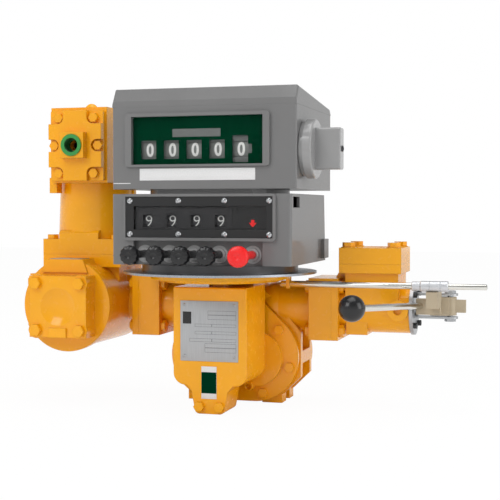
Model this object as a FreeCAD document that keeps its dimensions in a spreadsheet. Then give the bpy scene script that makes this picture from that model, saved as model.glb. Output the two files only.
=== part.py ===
import FreeCAD, Part
import math
import os
import Sketcher

# Rotary positive-displacement flow meter with strainer, air eliminator, preset valve, preset counter
# and register.  Millimetres.  X runs along the flow (inlet at -X, outlet at +X), Y points to the back,
# Z points up.  The origin is the middle of the foot pattern, on the plane that the feet stand on.

doc = FreeCAD.newDocument("FlowMeter")
sheet = doc.addObject("Spreadsheet::Sheet", "Sizes")

SIZES = (
    # measuring chamber
    ("displacement_spread", 36, "displacement shaft axis, distance from the middle plane"),
    ("displacement_height", 66, "displacement shaft axis, height over the feet"),
    ("gear_module", 3, "module of the timing gears"),
    ("displacement_teeth", 22, "teeth of a displacement gear"),
    ("blocking_teeth", 11, "teeth of the blocking gear"),
    ("tooth_play", 0.25, "backlash of the timing gears at the pitch circle"),
    ("blade_radius", 33.5, "tip radius of the displacement blades"),
    ("blade_angle", 28, "angle that one blade fills, degrees"),
    ("pocket_angle", 154, "angle of the pocket in the blocking rotor, degrees"),
    ("hub_radius", 16.2, "hub of a displacement rotor"),
    ("rotor_play", 0.3, "gap between rotors and their bores"),
    ("shaft_radius", 7, "rotor shafts"),
    ("shaft_play", 0.05, "radial clearance of a turning shaft"),
    ("seat_play", 0.02, "radial clearance of a fixed fit"),
    # housing casting
    ("housing_front", -32, "front face of the housing"),
    ("housing_back", 36, "rear face of the housing"),
    ("housing_wall", 11, "wall round the rotor bores"),
    ("rim_thickness", 11, "thickness of the housing's end rims"),
    ("rim_half_width", 97.5, "half width of the end rims"),
    ("rim_low", 39, "lower end of the rims' upright sides"),
    ("rim_high", 104, "upper end of the rims' upright sides"),
    ("rim_bottom", 6, "underside of the rims"),
    ("rim_corner", 14, "lower outer corners of the rims"),
    ("rim_top", 171, "top of the rims"),
    ("rib_low", 58, "underside of the side ribs"),
    ("rib_high", 76, "top of the side ribs"),
    ("rib_inner", 70, "where a side rib meets the barrel"),
    ("foot_inner", 42, "inner side of a foot"),
    ("foot_outer", 72, "outer side of a foot"),
    ("foot_depth", 24, "depth of a foot"),
    ("foot_height", 18, "height of a foot"),
    ("foot_hole", 5.5, "radius of a foot's bolt hole"),
    ("foot_hole_x", 57, "foot bolt, distance from the middle plane"),
    ("foot_hole_y", 22, "foot bolt, distance in front of and behind the origin"),
    ("port_height", 139.5, "axis of both ports"),
    ("port_bore", 18.5, "radius of the flow passages"),
    ("duct_radius", 35, "outside of the port ducts"),
    ("duct_bend", 58, "where a port duct turns down"),
    ("passage_bend", 53, "where a flow passage turns down"),
    ("duct_foot", 76, "lower end of a port duct"),
    ("passage_foot", 80, "lower end of a flow passage"),
    ("port_flange_inner", 114, "inner face of the housing's port flanges"),
    ("port_flange_outer", 147, "joint face of the housing's port flanges"),
    ("port_flange_half", 44.5, "half side of the square port flanges"),
    ("port_bolt_half", 31.5, "half spacing of the port flange bolts"),
    ("mating_flange", 10, "thickness of the flanges bolted to the housing"),
    ("pedestal_half", 34, "half width of the pedestal under the adapter"),
    ("pedestal_back", 20, "back of the pedestal"),
    # bearing plates, covers and their bolts
    ("plate_thickness", 5, "bearing plates"),
    ("plate_radius", 63.5, "corner radius of the bearing plates"),
    ("cover_radius", 65.5, "corner radius of the end covers"),
    ("cover_middle", 2.5, "middle of the covers and end rims, from the middle plane"),
    ("cover_thickness", 7, "flange of the end covers"),
    ("lobe_spread", 31, "lower corners of the covers, from the middle plane"),
    ("lobe_height", 68.5, "lower corners of the covers, height"),
    ("lobe_top", 98.3, "upper corner of the covers, height"),
    ("gear_case_depth", 8, "how far the gear case stands out of the front cover"),
    ("gear_case_wall", 3.5, "wall of the gear case"),
    ("gear_case_top", 26, "upper corner radius of the gear case"),
    ("gear_play", 1.2, "gap round the timing gears"),
    ("gear_width", 8, "face width of the timing gears"),
    ("rear_boss_depth", 5, "how far the rear cover's middle stands out"),
    ("rear_boss_radius", 34, "corner radius of the rear cover's middle"),
    ("cover_bolt_circle", 54.5, "bolt circle round a cover corner"),
    ("cover_bolt_radius", 4, "cover bolt shank"),
    ("cover_head_flats", 13, "cover bolt head, across flats"),
    ("cover_head_height", 5.5, "cover bolt head"),
    ("cover_bolt_length", 22, "cover bolt under its head"),
    ("bolt_play", 0.2, "radial clearance of a bolt in its hole"),
    ("drain_x", 28, "drain boss on the front cover, from the middle plane"),
    ("drain_z", 26, "drain boss on the front cover, height"),
    ("drain_radius", 6.5, "drain boss"),
    ("drain_proud", 6, "drain boss, out from the gear case"),
    ("drain_socket", 8, "socket in the drain plug, across flats"),
    ("drain_socket_depth", 5, "socket in the drain plug"),
    # output drive
    ("gland_collar", 16, "packing gland collar"),
    ("gland_sleeve", 10, "packing gland sleeve"),
    ("gland_thickness", 4, "packing gland collar, thickness"),
    ("gland_nut_flats", 24, "packing nut, across flats"),
    ("gland_nut_length", 12, "packing nut"),
    ("drive_y", -103, "vertical drive axis, also the middle of the discs under the counters"),
    ("nose_radius", 4.5, "nose of the blocking shaft that carries the bevel gear"),
    ("bevel_module", 1.75, "module of the mitre gears"),
    ("bevel_teeth", 16, "teeth of a mitre gear"),
    ("bevel_face", 5, "mitre gear, length along its axis"),
    ("bevel_hub_radius", 9, "hub of a mitre gear"),
    ("bevel_hub_length", 8, "hub of a mitre gear"),
    ("bevel_play", 0.25, "backlash of the mitre gears"),
    ("output_radius", 5, "vertical output shaft"),
    ("output_top", 325, "top of the output shaft"),
    # dust cover
    ("dust_front", -148, "front face of the dust cover"),
    ("dust_x", -1.6, "middle of the dust cover"),
    ("dust_half", 53, "half width of the dust cover"),
    ("dust_foot_corner", 7, "lower corners of the foot"),
    ("dust_top", 175, "top of the dust cover"),
    ("dust_shoulder", 39, "underside of the dust cover's wide part"),
    ("dust_shoulder_half", 33, "half width at the shoulder"),
    ("dust_waist", 31, "top of the dust cover's foot"),
    ("dust_waist_half", 26, "half width at the top of the foot"),
    ("dust_foot_half", 20.5, "half width at the bottom of the foot"),
    ("dust_foot_depth", 57, "depth of the foot"),
    ("dust_corner", 17, "lower corners of the dust cover"),
    ("dust_wall", 3, "wall of the dust cover"),
    ("dust_edge", 6, "rounded long edges of the dust cover"),
    ("dust_bolt_x", 14.5, "foot bolts of the dust cover, from the middle"),
    ("dust_bolt_z", 10, "foot bolts of the dust cover, height"),
    # adapter, disc and base under the counters
    ("adapter_radius", 98, "rim of the adapter dish"),
    ("adapter_floor_radius", 84, "underside of the adapter dish"),
    ("adapter_bottom", 182, "underside of the adapter, top of the pedestal"),
    ("adapter_rim", 186, "lower edge of the adapter's rim"),
    ("adapter_top", 193.5, "top of the adapter"),
    ("sleeve_radius", 12, "bearing sleeve under the adapter"),
    ("sleeve_bottom", 126, "lower end of the bearing sleeve"),
    ("disc_radius", 136, "mounting disc"),
    ("disc_thickness", 3, "mounting disc"),
    ("drive_hole", 12, "hole for the output shaft in the discs and cases"),
    ("base_radius", 110, "base of the preset counter"),
    ("base_height", 10.5, "base of the preset counter"),
    # preset counter
    ("case_front", -182, "front face of both counter cases"),
    ("case_wall", 4, "walls of the counter cases"),
    ("preset_left", -131, "left side of the preset case"),
    ("preset_right", 123, "right side of the preset case"),
    ("preset_top", 303.5, "top of the preset case"),
    ("preset_back_top", 18, "back of the preset case at its top"),
    ("preset_back_low", 27, "back of the preset case at its bottom"),
    ("case_corner", 5, "upright corners of the cases"),
    ("preset_pad", 5, "rear corner pads of the preset case, how far they stand out"),
    ("preset_pad_depth", 29, "rear corner pads, along Y"),
    ("preset_pad_low", 211, "rear corner pads, underside"),
    ("preset_pad_high", 239, "rear corner pads, top"),
    ("notch_front", -172, "notch in the preset case's right side, front"),
    ("notch_back", -136, "notch in the preset case's right side, back"),
    ("notch_low", 285, "notch in the preset case's right side, bottom"),
    ("frame_left", -113, "raised frame on the preset case"),
    ("frame_right", 102.5, "raised frame on the preset case"),
    ("frame_low", 240, "raised frame on the preset case"),
    ("frame_proud", 4, "how far the raised frames stand out"),
    ("bezel_left", -109.5, "black bezel"),
    ("bezel_right", 98, "black bezel"),
    ("bezel_low", 244.5, "black bezel"),
    ("bezel_high", 299.5, "black bezel"),
    ("bezel_window_left", -98, "window of the black bezel"),
    ("bezel_window_right", 90, "window of the black bezel"),
    ("bezel_window_low", 255, "window of the black bezel"),
    ("bezel_window_high", 287, "window of the black bezel"),
    ("bezel_thickness", 6, "black bezel, front to mask"),
    ("mask_thickness", 1.5, "mask behind the black bezel's window"),
    ("bezel_play", 0.3, "gap round the bezel in its frame"),
    ("preset_wheel_first", -79.1, "middle of the left preset wheel"),
    ("preset_wheel_pitch", 34.4, "spacing of the preset wheels"),
    ("preset_wheel_radius", 25, "preset wheels"),
    ("preset_wheel_width", 22, "preset wheels"),
    ("preset_axis_y", -151, "axis of the preset wheels"),
    ("preset_axis_z", 267, "axis of the preset wheels"),
    ("preset_slot_half_width", 9, "half width of a slot in the mask"),
    ("preset_slot_half_height", 10, "half height of a slot in the mask"),
    ("wheel_shaft_radius", 4, "shafts of the number wheels"),
    ("button_panel_left", -99.5, "recess behind the buttons"),
    ("button_panel_right", 83.5, "recess behind the buttons"),
    ("button_panel_high", 240, "recess behind the buttons"),
    ("button_panel_depth", 10, "recess behind the buttons"),
    ("button_first", -85.8, "middle of the left button"),
    ("button_pitch", 35.5, "spacing of the black buttons"),
    ("button_z", 221.8, "axis of the buttons"),
    ("stop_x", 67.7, "axis of the stop button"),
    ("button_stem", 5, "button stems"),
    ("button_stem_back", -152, "inner end of the button stems"),
    ("button_collar", 7.5, "collar that keeps a button in its case"),
    ("button_travel", 7, "travel of the buttons"),
    ("button_front", -237, "front of the black buttons"),
    ("stop_front", -249, "front of the stop button"),
    ("button_radius", 12.3, "button heads"),
    ("button_head", 20, "button heads, along Y"),
    ("button_neck", 8.5, "button heads, small end"),
    ("button_ring", 8.5, "ring round a button stem"),
    ("button_ring_depth", 3, "ring round a button stem"),
    # register
    ("register_half", 130, "half width of the register"),
    ("register_back", 30, "back of the register"),
    ("register_bottom", 310, "underside of the register case"),
    ("register_seam", 421.5, "joint between the register's case and lid"),
    ("neck_radius", 98, "neck between the counters"),
    ("window_left", -101, "register window"),
    ("window_right", 84.5, "register window"),
    ("window_low", 343.3, "register window"),
    ("window_high", 408, "register window"),
    ("window_rim", 9.5, "width of the raised frame round the register window"),
    ("dial_y", -176, "front of the dial plate"),
    ("dial_thickness", 1.5, "dial plate"),
    ("register_wheel_first", -78.5, "middle of the left register wheel"),
    ("register_wheel_pitch", 32.5, "spacing of the register wheels"),
    ("register_wheel_radius", 33.5, "register wheels"),
    ("register_wheel_width", 24, "register wheels"),
    ("register_axis_y", -139, "axis of the register wheels"),
    ("register_axis_z", 363.5, "axis of the register wheels"),
    ("slot_half_width", 11, "half width of a dial slot"),
    ("slot_half_height", 12.6, "half height of a dial slot"),
    ("last_slot_half_height", 18, "half height of the right dial slot"),
    ("pane_thickness", 2, "window panes"),
    ("lid_edge_rise", 8.5, "top of the lid's front band, over its seam"),
    ("lid_peak_y", -172, "ridge of the lid"),
    ("lid_peak_rise", 25.5, "ridge of the lid, over its seam"),
    ("lid_back_rise", 9.5, "lid at the back, over its seam"),
    ("lid_wall", 3, "wall of the lid"),
    ("lid_back_edge", 9, "rounded rear edge of the lid"),
    ("knob_stub", 6, "stub of the reset knob in the case"),
    ("knob_back_radius", 37, "back ring of the reset knob"),
    ("knob_back_thickness", 5.5, "back ring of the reset knob"),
    ("knob_radius", 40, "disc of the reset knob"),
    ("knob_disc", 12, "disc of the reset knob, thickness"),
    ("knob_grip_length", 34, "grip of the reset knob, out from the disc"),
    ("knob_grip_half", 28, "grip of the reset knob, half length"),
    ("knob_grip_thick", 24, "grip of the reset knob, thickness"),
    # strainer
    ("strainer_x", -235, "axis of the strainer"),
    ("strainer_z", 142, "axis of the strainer"),
    ("eliminator_x", -232, "axis of the air eliminator"),
    ("eliminator_y", 2, "axis of the air eliminator"),
    ("strainer_radius", 65, "barrel of the strainer"),
    ("strainer_chamber", 54, "chamber of the strainer"),
    ("strainer_rim", 68, "front rim of the strainer"),
    ("strainer_rim_front", -107, "front of the strainer's rim"),
    ("strainer_rim_back", -94, "back of the strainer's rim"),
    ("strainer_back", 62, "back of the strainer"),
    ("cap_seat", -121, "joint face under the strainer cap"),
    ("cap_front", -138, "front face of the strainer cap"),
    ("cap_half", 44.5, "half side of the strainer cap"),
    ("cap_corner", 12, "corner lobes of the strainer cap"),
    ("cap_bolt_half", 34, "half spacing of the cap bolts"),
    ("cap_dish", 27, "dish in the strainer cap"),
    ("cap_dish_depth", 7, "dish in the strainer cap"),
    ("cap_tab_half", 14, "tab under the cap's dish, half width"),
    ("basket_radius", 30, "strainer basket"),
    ("basket_wall", 2, "strainer basket"),
    ("basket_bore", 32, "bore that the basket passes"),
    ("tag_top", 209.6, "flat top of the tag boss"),
    ("tag_top_half", 29, "tag boss, half width at its top"),
    ("tag_base", 190, "tag boss, where it meets the rim"),
    ("tag_base_half", 36, "tag boss, half width at its base"),
    ("tag_back", -70, "back of the tag boss"),
    ("tag_proud", 2.5, "tag boss, out from the rim"),
    ("shoulder_right", -178, "right side of the strainer's square shoulder"),
    ("shoulder_half", 46, "half depth of the strainer's square shoulder"),
    ("inlet_flange_inner", -299, "back of the strainer's inlet flange"),
    ("inlet_joint", -309, "joint face at the inlet"),
    ("inlet_face", -325, "outer face of the inlet companion flange"),
    ("inlet_bore", 21.5, "threaded bore of the pipe flanges"),
    ("neck_outside", 26, "necks of the strainer and the valve"),
    ("base_half", 63, "half side of the block under the air eliminator"),
    ("base_joint", 215, "joint face under the air eliminator"),
    ("base_under", 196, "underside of the strainer's top flange"),
    ("base_front", -60, "front of the flanges under the air eliminator"),
    ("base_bolt_half", 52, "half spacing of the air eliminator's base bolts"),
    # air eliminator
    ("column_radius", 64, "column of the air eliminator"),
    ("column_bore", 46, "bore of the air eliminator"),
    ("column_flange", 23, "base flange of the air eliminator"),
    ("fin_thickness", 8, "side fins of the column"),
    ("head_low", 322, "underside of the eliminator head"),
    ("head_high", 434.3, "top of the eliminator head"),
    ("head_half", 45, "half width of the eliminator head"),
    ("head_front", -67, "front of the eliminator head"),
    ("head_back", 57, "back of the eliminator head"),
    ("head_wall", 9, "walls of the eliminator head"),
    ("head_neck", 34, "opening between the column and the head"),
    ("head_floor", 16, "thickness of the column's top round that opening"),
    ("head_front_wall", 17, "front wall of the eliminator head"),
    ("head_mouth_half", 26, "half width of the opening behind the cover"),
    ("head_mouth_low", 346, "opening behind the cover"),
    ("head_mouth_high", 408, "opening behind the cover"),
    ("plug_radius", 10, "dome plug on top of the head"),
    ("plug_x", -242, "dome plug on top of the head"),
    ("plug_step", 1.7, "rim under the plug's dome"),
    ("lid_plate_half", 42.3, "half width of the eliminator cover"),
    ("lid_plate_low", 325, "underside of the eliminator cover"),
    ("lid_plate_high", 429, "top of the eliminator cover"),
    ("lid_plate_front", -83, "front of the eliminator cover"),
    ("lid_plate_step", 8, "seat of the cover's bolt heads, from its joint"),
    ("vent_z", 377, "axis of the vent"),
    ("vent_boss_half", 19, "half side of the vent boss"),
    ("vent_boss_front", -95, "front of the vent boss"),
    ("vent_radius", 16, "vent bushing"),
    ("vent_bore", 10.6, "threaded bore of the vent bushing"),
    ("head_bolt_x", 28, "corner bolts of the eliminator cover"),
    ("head_bolt_side", 35, "middle bolts of the eliminator cover"),
    ("head_bolt_rise", 41, "corner bolts above and below the vent axis"),
    ("scallop_radius", 9, "scallop round a cover bolt head"),
    ("float_radius", 27, "float"),
    ("float_y", 6, "middle of the float"),
    ("float_z", 270, "middle of the float"),
    ("float_hinge_y", -52, "hinge of the float lever"),
    ("float_hinge_z", 398, "hinge of the float lever"),
    ("float_lever", 3, "float lever"),
    # valve
    ("valve_radius", 35, "barrel of the valve"),
    ("valve_end", 257, "open end of the valve barrel"),
    ("valve_bore", 28, "bore of the valve barrel"),
    ("valve_seat", 176, "seat of the valve"),
    ("piston_open", 11, "how far the piston stands off its seat"),
    ("valve_block_end", 197, "end of the block under the valve's inlet"),
    ("valve_block_low", 103, "underside of the valve's inlet block"),
    ("outlet_x", 202.5, "axis of the outlet"),
    ("outlet_half_x", 44.5, "half length of the outlet flange"),
    ("outlet_half_y", 43, "half width of the outlet flange"),
    ("outlet_under", 191.6, "underside of the valve's top flange"),
    ("outlet_joint", 204.6, "joint face at the outlet"),
    ("outlet_face", 228, "top of the outlet companion flange"),
    ("outlet_boss", 1, "corner bosses of the outlet companion flange"),
    ("outlet_bolt_x", 32.5, "outlet bolts, half spacing along X"),
    ("outlet_bolt_y", 31, "outlet bolts, half spacing along Y"),
    ("valve_boss_x", 241.5, "boss on the front of the valve"),
    ("valve_boss_radius", 15, "boss on the front of the valve"),
    ("valve_boss_front", -40, "boss on the front of the valve"),
    ("valve_boss_bore", 6, "hole in the boss"),
    ("end_plate_radius", 37, "end plate of the valve"),
    ("end_plate_thickness", 5, "end plate of the valve"),
    ("end_screw_circle", 31, "screw circle of the end plate"),
    ("strap_half", 10, "half width of the straps"),
    ("strap_thickness", 3, "straps"),
    ("strap_rise", 16.5, "straps above and below the lever's middle height"),
    ("lever_z", 145, "middle height of the lever"),
    ("strap_end", 322, "outer end of the straps"),
    ("pivot_x", 311, "pivot of the lever"),
    ("pivot_radius", 4, "pivot pin"),
    ("pivot_head", 7, "heads of the pivot pin"),
    ("pivot_head_height", 4, "heads of the pivot pin"),
    ("piston_radius", 24, "valve piston"),
    ("piston_thickness", 9, "valve piston"),
    ("stem_radius", 5, "valve stem"),
    ("stem_end", 267, "outer end of the valve stem"),
    ("spring_radius", 15, "middle radius of the valve spring"),
    ("spring_wire", 2, "wire radius of the valve spring"),
    ("spring_turns", 4, "turns of the valve spring"),
    ("lever_half_height", 13, "half height of the lever casting"),
    ("lever_barrel", 9, "barrel of the lever"),
    ("lever_left", 266, "left end of the lever's front wing"),
    ("lever_front", -28, "front of the lever's wing"),
    ("lever_wing_back", -12, "back of the lever's wing"),
    ("lever_block_left", 284, "left end of the lever's middle block"),
    ("lever_block_back", 8, "back of the lever's middle block"),
    ("lever_tab_end", 333, "outer end of the lever's tab"),
    ("lever_tab_half", 9, "half height of the lever's tab"),
    ("horn_left", 284, "left side of the lever's horn"),
    ("horn_right", 300, "right side of the lever's horn"),
    ("horn_front", -60, "front of the lever's horn"),
    ("horn_play", 0.3, "gap between the horn and the rod sleeve"),
    ("handle_radius", 4.75, "handle rod"),
    ("handle_root_x", 274, "handle rod at the lever"),
    ("handle_root_y", -20, "handle rod at the lever"),
    ("handle_root_z", 146, "handle rod at the lever"),
    ("knob_ball_x", 206.5, "middle of the ball knob"),
    ("knob_ball_y", -195, "middle of the ball knob"),
    ("knob_ball_z", 155, "middle of the ball knob"),
    ("ball_radius", 17.5, "ball knob"),
    ("ball_flat", 16.5, "flat on the ball for its rod, from the ball's middle"),
    # trip rod
    ("trip_y", -55, "trip rod"),
    ("trip_z", 176, "trip rod"),
    ("trip_radius", 4.75, "trip rod, long part"),
    ("trip_thin_radius", 4, "trip rod, outer end"),
    ("trip_left", 79, "left end of the trip rod"),
    ("trip_guide_left", 85, "lug under the adapter that guides the trip rod"),
    ("trip_guide_right", 90, "lug under the adapter that guides the trip rod"),
    ("trip_tail", 16, "length of the trip rod's bent tail"),
    ("trip_step", 314, "where the trip rod gets thinner"),
    ("trip_right", 367, "right end of the trip rod"),
    ("trip_sleeve_left", 276, "sleeve on the trip rod"),
    ("trip_sleeve_radius", 7.5, "sleeve on the trip rod"),
    ("trip_collar_left", 264, "collar beside the sleeve"),
    ("trip_collar_radius", 6.5, "collar beside the sleeve"),
    # larger bolts
    ("flange_bolt_radius", 5, "flange bolt shank"),
    ("flange_head_flats", 16, "flange bolt head, across flats"),
    ("flange_head_height", 6.5, "flange bolt head"),
)

for row, (alias, number, meaning) in enumerate(SIZES, start=1):
    sheet.set(f"A{row}", meaning)
    sheet.set(f"B{row}", str(number))
    sheet.setAlias(f"B{row}", alias)
doc.recompute()


class Size:
    """A length or angle: its number now, and the sheet expression that it stands for."""

    def __init__(self, number, text):
        self.number = float(number)
        self.text = text

    def __float__(self):
        return self.number

    def __add__(self, other):
        other = as_size(other)
        return Size(self.number + other.number, f"({self.text} + {other.text})")

    def __sub__(self, other):
        other = as_size(other)
        return Size(self.number - other.number, f"({self.text} - {other.text})")

    def __mul__(self, other):
        other = as_size(other)
        return Size(self.number * other.number, f"({self.text} * {other.text})")

    def __truediv__(self, other):
        other = as_size(other)
        return Size(self.number / other.number, f"({self.text} / {other.text})")

    def __neg__(self):
        return Size(-self.number, f"(-{self.text})")

    def __radd__(self, other):
        return as_size(other) + self

    def __rsub__(self, other):
        return as_size(other) - self

    def __rmul__(self, other):
        return as_size(other) * self

    def __rtruediv__(self, other):
        return as_size(other) / self


def as_size(thing):
    """A Size as it is, or a plain number as a Size."""
    return thing if isinstance(thing, Size) else Size(thing, f"({thing!r})")


def root(thing):
    return Size(math.sqrt(thing.number), f"sqrt({thing.text})")


def cosine(angle):
    angle = as_size(angle)
    return Size(math.cos(math.radians(angle.number)), f"cos({angle.text})")


def sine(angle):
    angle = as_size(angle)
    return Size(math.sin(math.radians(angle.number)), f"sin({angle.text})")


def bearing(rise, run):
    """Angle of a direction in degrees, from its two lengths."""
    number = math.degrees(math.atan2(rise.number, run.number))
    return Size(number, f"(atan2({rise.text}; {run.text}) / 1deg)")


class Sheet:
    """Every size on the sheet as an attribute."""


s = Sheet()
for alias, number, meaning in SIZES:
    setattr(s, alias, Size(sheet.get(alias), f"Sizes.{alias}"))

NODES = {}
X_AXIS = FreeCAD.Vector(1, 0, 0)
Y_AXIS = FreeCAD.Vector(0, 1, 0)
Z_AXIS = FreeCAD.Vector(0, 0, 1)
ALONG = {"x": (Y_AXIS, 90), "y": (X_AXIS, -90), "z": (Z_AXIS, 0)}
OTHER = {"x": "yz", "y": "xz", "z": "xy"}


def node(name, obj):
    """Name a finished sub-part; its name is the name of its file."""
    obj.Label = name
    NODES[name] = obj
    return obj


def bind(obj, **sizes):
    """Tie properties of an object to sizes on the sheet."""
    for prop, size in sizes.items():
        size = as_size(size)
        setattr(obj, prop, size.number)
        obj.setExpression(prop, size.text)
    return obj


def move_to(obj, x=0, y=0, z=0):
    """Tie an object's place to sizes on the sheet; its turn stays."""
    x, y, z = as_size(x), as_size(y), as_size(z)
    obj.Placement = FreeCAD.Placement(FreeCAD.Vector(x.number, y.number, z.number), obj.Placement.Rotation)
    for letter, size in zip("xyz", (x, y, z)):
        obj.setExpression(f"Placement.Base.{letter}", size.text)
    return obj


def lay_along(obj, axis, start, centre):
    """Point an upright primitive along an axis, from a start on it, through a centre in the other two."""
    turn, angle = ALONG[axis]
    obj.Placement = FreeCAD.Placement(FreeCAD.Vector(), FreeCAD.Rotation(turn, angle))
    place = dict(zip(OTHER[axis], centre))
    place[axis] = start
    return move_to(obj, **place)


def box(x, y, z):
    obj = doc.addObject("Part::Box", "Block")
    bind(obj, Length=x[1] - as_size(x[0]), Width=y[1] - as_size(y[0]), Height=z[1] - as_size(z[0]))
    return move_to(obj, x[0], y[0], z[0])


def rod(axis, radius, span, centre, angle=360):
    obj = doc.addObject("Part::Cylinder", "Rod")
    bind(obj, Radius=radius, Height=span[1] - as_size(span[0]), Angle=angle)
    return lay_along(obj, axis, span[0], centre)


def cone(axis, radii, span, centre):
    obj = doc.addObject("Part::Cone", "Taper")
    bind(obj, Radius1=radii[0], Radius2=radii[1], Height=span[1] - as_size(span[0]))
    return lay_along(obj, axis, span[0], centre)


def hexagon(axis, flats, span, centre):
    obj = doc.addObject("Part::Prism", "Hexagon")
    obj.Polygon = 6
    bind(obj, Circumradius=flats / math.sqrt(3), Height=span[1] - as_size(span[0]))
    return lay_along(obj, axis, span[0], centre)


def bar_length(start, end):
    """The length of the line between two points."""
    run = [as_size(b) - a for a, b in zip(start, end)]
    return root(run[0] * run[0] + run[1] * run[1] + run[2] * run[2])


def link(radius, start, end):
    """A round bar from one point to another; it isn't upright."""
    run = [as_size(b) - a for a, b in zip(start, end)]
    length = bar_length(start, end)
    lean = math.degrees(math.acos(run[2].number / length.number))
    axis = FreeCAD.Vector(-run[1].number, run[0].number, 0)
    obj = doc.addObject("Part::Cylinder", "Bar")
    bind(obj, Radius=radius, Height=length)
    obj.Placement = FreeCAD.Placement(FreeCAD.Vector(), FreeCAD.Rotation(axis, lean))
    obj.setExpression("Placement.Rotation.Axis.x", (-run[1]).text)
    obj.setExpression("Placement.Rotation.Axis.y", run[0].text)
    obj.setExpression("Placement.Rotation.Angle", f"acos({run[2].text} / {length.text}) / 1deg")
    return move_to(obj, *start)


def ball(radius, x, y, z):
    obj = doc.addObject("Part::Sphere", "Ball")
    bind(obj, Radius=radius)
    return move_to(obj, x, y, z)


def join(parts, name="Joined"):
    obj = doc.addObject("Part::MultiFuse", name)
    obj.Shapes = list(parts)
    obj.Refine = True
    return obj


def cut(base, tools, name="CutOut"):
    obj = doc.addObject("Part::Cut", name)
    obj.Base = base
    obj.Tool = tools[0] if len(tools) == 1 else join(tools, "Tools")
    obj.Refine = True
    return obj


def group(parts, name="Group"):
    """Separate solids that share one node."""
    obj = doc.addObject("Part::Compound", name)
    obj.Links = list(parts)
    return obj


def square_spots(x, y, half):
    """The four corners of a square pattern."""
    return [(x + a * half, y + b * half) for a in (-1, 1) for b in (-1, 1)]


def mirrored(values):
    """Both signs of each value, for what repeats left and right."""
    return [sign * value for value in values for sign in (-1, 1)]


# ---- sketched bodies -------------------------------------------------------------------------------

PLANE_SIGN = {"XY_Plane": 1, "XZ_Plane": -1, "YZ_Plane": 1}


def new_body(name):
    return doc.addObject("PartDesign::Body", name)


def plane_sketch(body, role, level):
    """A sketch parallel to one of the body's origin planes, at a level on the remaining axis."""
    sketch = body.newObject("Sketcher::SketchObject", "Outline")
    plane = next(item for item in body.Origin.OriginFeatures if item.Role == role)
    sketch.AttachmentSupport = (plane, [""])
    sketch.MapMode = "FlatFace"
    sketch.setExpression("AttachmentOffset.Base.z", (PLANE_SIGN[role] * as_size(level)).text)
    return sketch


def fix_point(sketch, geometry, point, x, y):
    """Tie a point of the sketch to two sizes, measured from the sketch's origin."""
    for kind, size in (("DistanceX", as_size(x)), ("DistanceY", as_size(y))):
        number = sketch.addConstraint(Sketcher.Constraint(kind, -1, 1, geometry, point, size.number))
        sketch.setExpression(f"Constraints[{number}]", size.text)


def vector(x, y):
    return FreeCAD.Vector(float(x), float(y), 0)


def polygon(points):
    """Draws a closed outline through points given as pairs of sizes."""

    def draw(sketch):
        corners = [vector(x, y) for x, y in points]
        sides = [Part.LineSegment(a, b) for a, b in zip(corners, corners[1:] + corners[:1])]
        names = sketch.addGeometry(sides, False)
        for side, following in zip(names, names[1:] + names[:1]):
            sketch.addConstraint(Sketcher.Constraint("Coincident", side, 2, following, 1))
        for side, (x, y) in zip(names, points):
            fix_point(sketch, side, 1, x, y)

    return draw


def rectangle(x, y):
    return polygon([(x[0], y[0]), (x[1], y[0]), (x[1], y[1]), (x[0], y[1])])


def circle(x, y, radius):
    """Draws a circle."""

    def draw(sketch):
        size = as_size(radius)
        name = sketch.addGeometry(Part.Circle(vector(x, y), Z_AXIS, size.number), False)
        fix_point(sketch, name, 3, x, y)
        number = sketch.addConstraint(Sketcher.Constraint("Radius", name, size.number))
        sketch.setExpression(f"Constraints[{number}]", size.text)

    return draw


def rounded(discs):
    """Draws the belt round discs (x, y, radius) that are listed counter-clockwise."""

    def draw(sketch):
        spots = [(float(x), float(y), float(radius)) for x, y, radius in discs]
        leave = []
        arrive = []
        for (x0, y0, r0), (x1, y1, r1) in zip(spots, spots[1:] + spots[:1]):
            outward = math.atan2(y1 - y0, x1 - x0) - math.acos((r0 - r1) / math.hypot(x1 - x0, y1 - y0))
            leave.append(outward)
            arrive.append(outward)
        arrive = arrive[-1:] + arrive[:-1]
        arcs = []
        for (x, y, radius), start, end in zip(spots, arrive, leave):
            end += 2 * math.pi * (end < start)
            arcs.append(Part.ArcOfCircle(Part.Circle(vector(x, y), Z_AXIS, radius), start, end))
        lines = [Part.LineSegment(a.EndPoint, b.StartPoint) for a, b in zip(arcs, arcs[1:] + arcs[:1])]
        arc_names = sketch.addGeometry(arcs, False)
        line_names = sketch.addGeometry(lines, False)
        for arc, line, following in zip(arc_names, line_names, arc_names[1:] + arc_names[:1]):
            sketch.addConstraint(Sketcher.Constraint("Tangent", arc, 2, line, 1))
            sketch.addConstraint(Sketcher.Constraint("Tangent", line, 2, following, 1))
        for arc, (x, y, radius) in zip(arc_names, discs):
            fix_point(sketch, arc, 3, x, y)
            size = as_size(radius)
            number = sketch.addConstraint(Sketcher.Constraint("Radius", arc, size.number))
            sketch.setExpression(f"Constraints[{number}]", size.text)

    return draw


def pad(body, role, draw, low, high):
    """Material between two levels on the axis across the plane."""
    sketch = plane_sketch(body, role, low if PLANE_SIGN[role] > 0 else high)
    draw(sketch)
    feature = body.newObject("PartDesign::Pad", "Pad")
    feature.Profile = sketch
    bind(feature, Length=high - as_size(low))
    return feature


def pocket(body, role, draw, low, high):
    """A cut between two levels on the axis across the plane."""
    sketch = plane_sketch(body, role, high if PLANE_SIGN[role] > 0 else low)
    draw(sketch)
    doc.recompute()
    before = body.Shape.Volume
    feature = body.newObject("PartDesign::Pocket", "Pocket")
    feature.Profile = sketch
    bind(feature, Length=high - as_size(low))
    doc.recompute()
    if body.Shape.Volume >= before:
        raise RuntimeError(f"a pocket of {body.Name} cuts nothing")
    return feature


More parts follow.
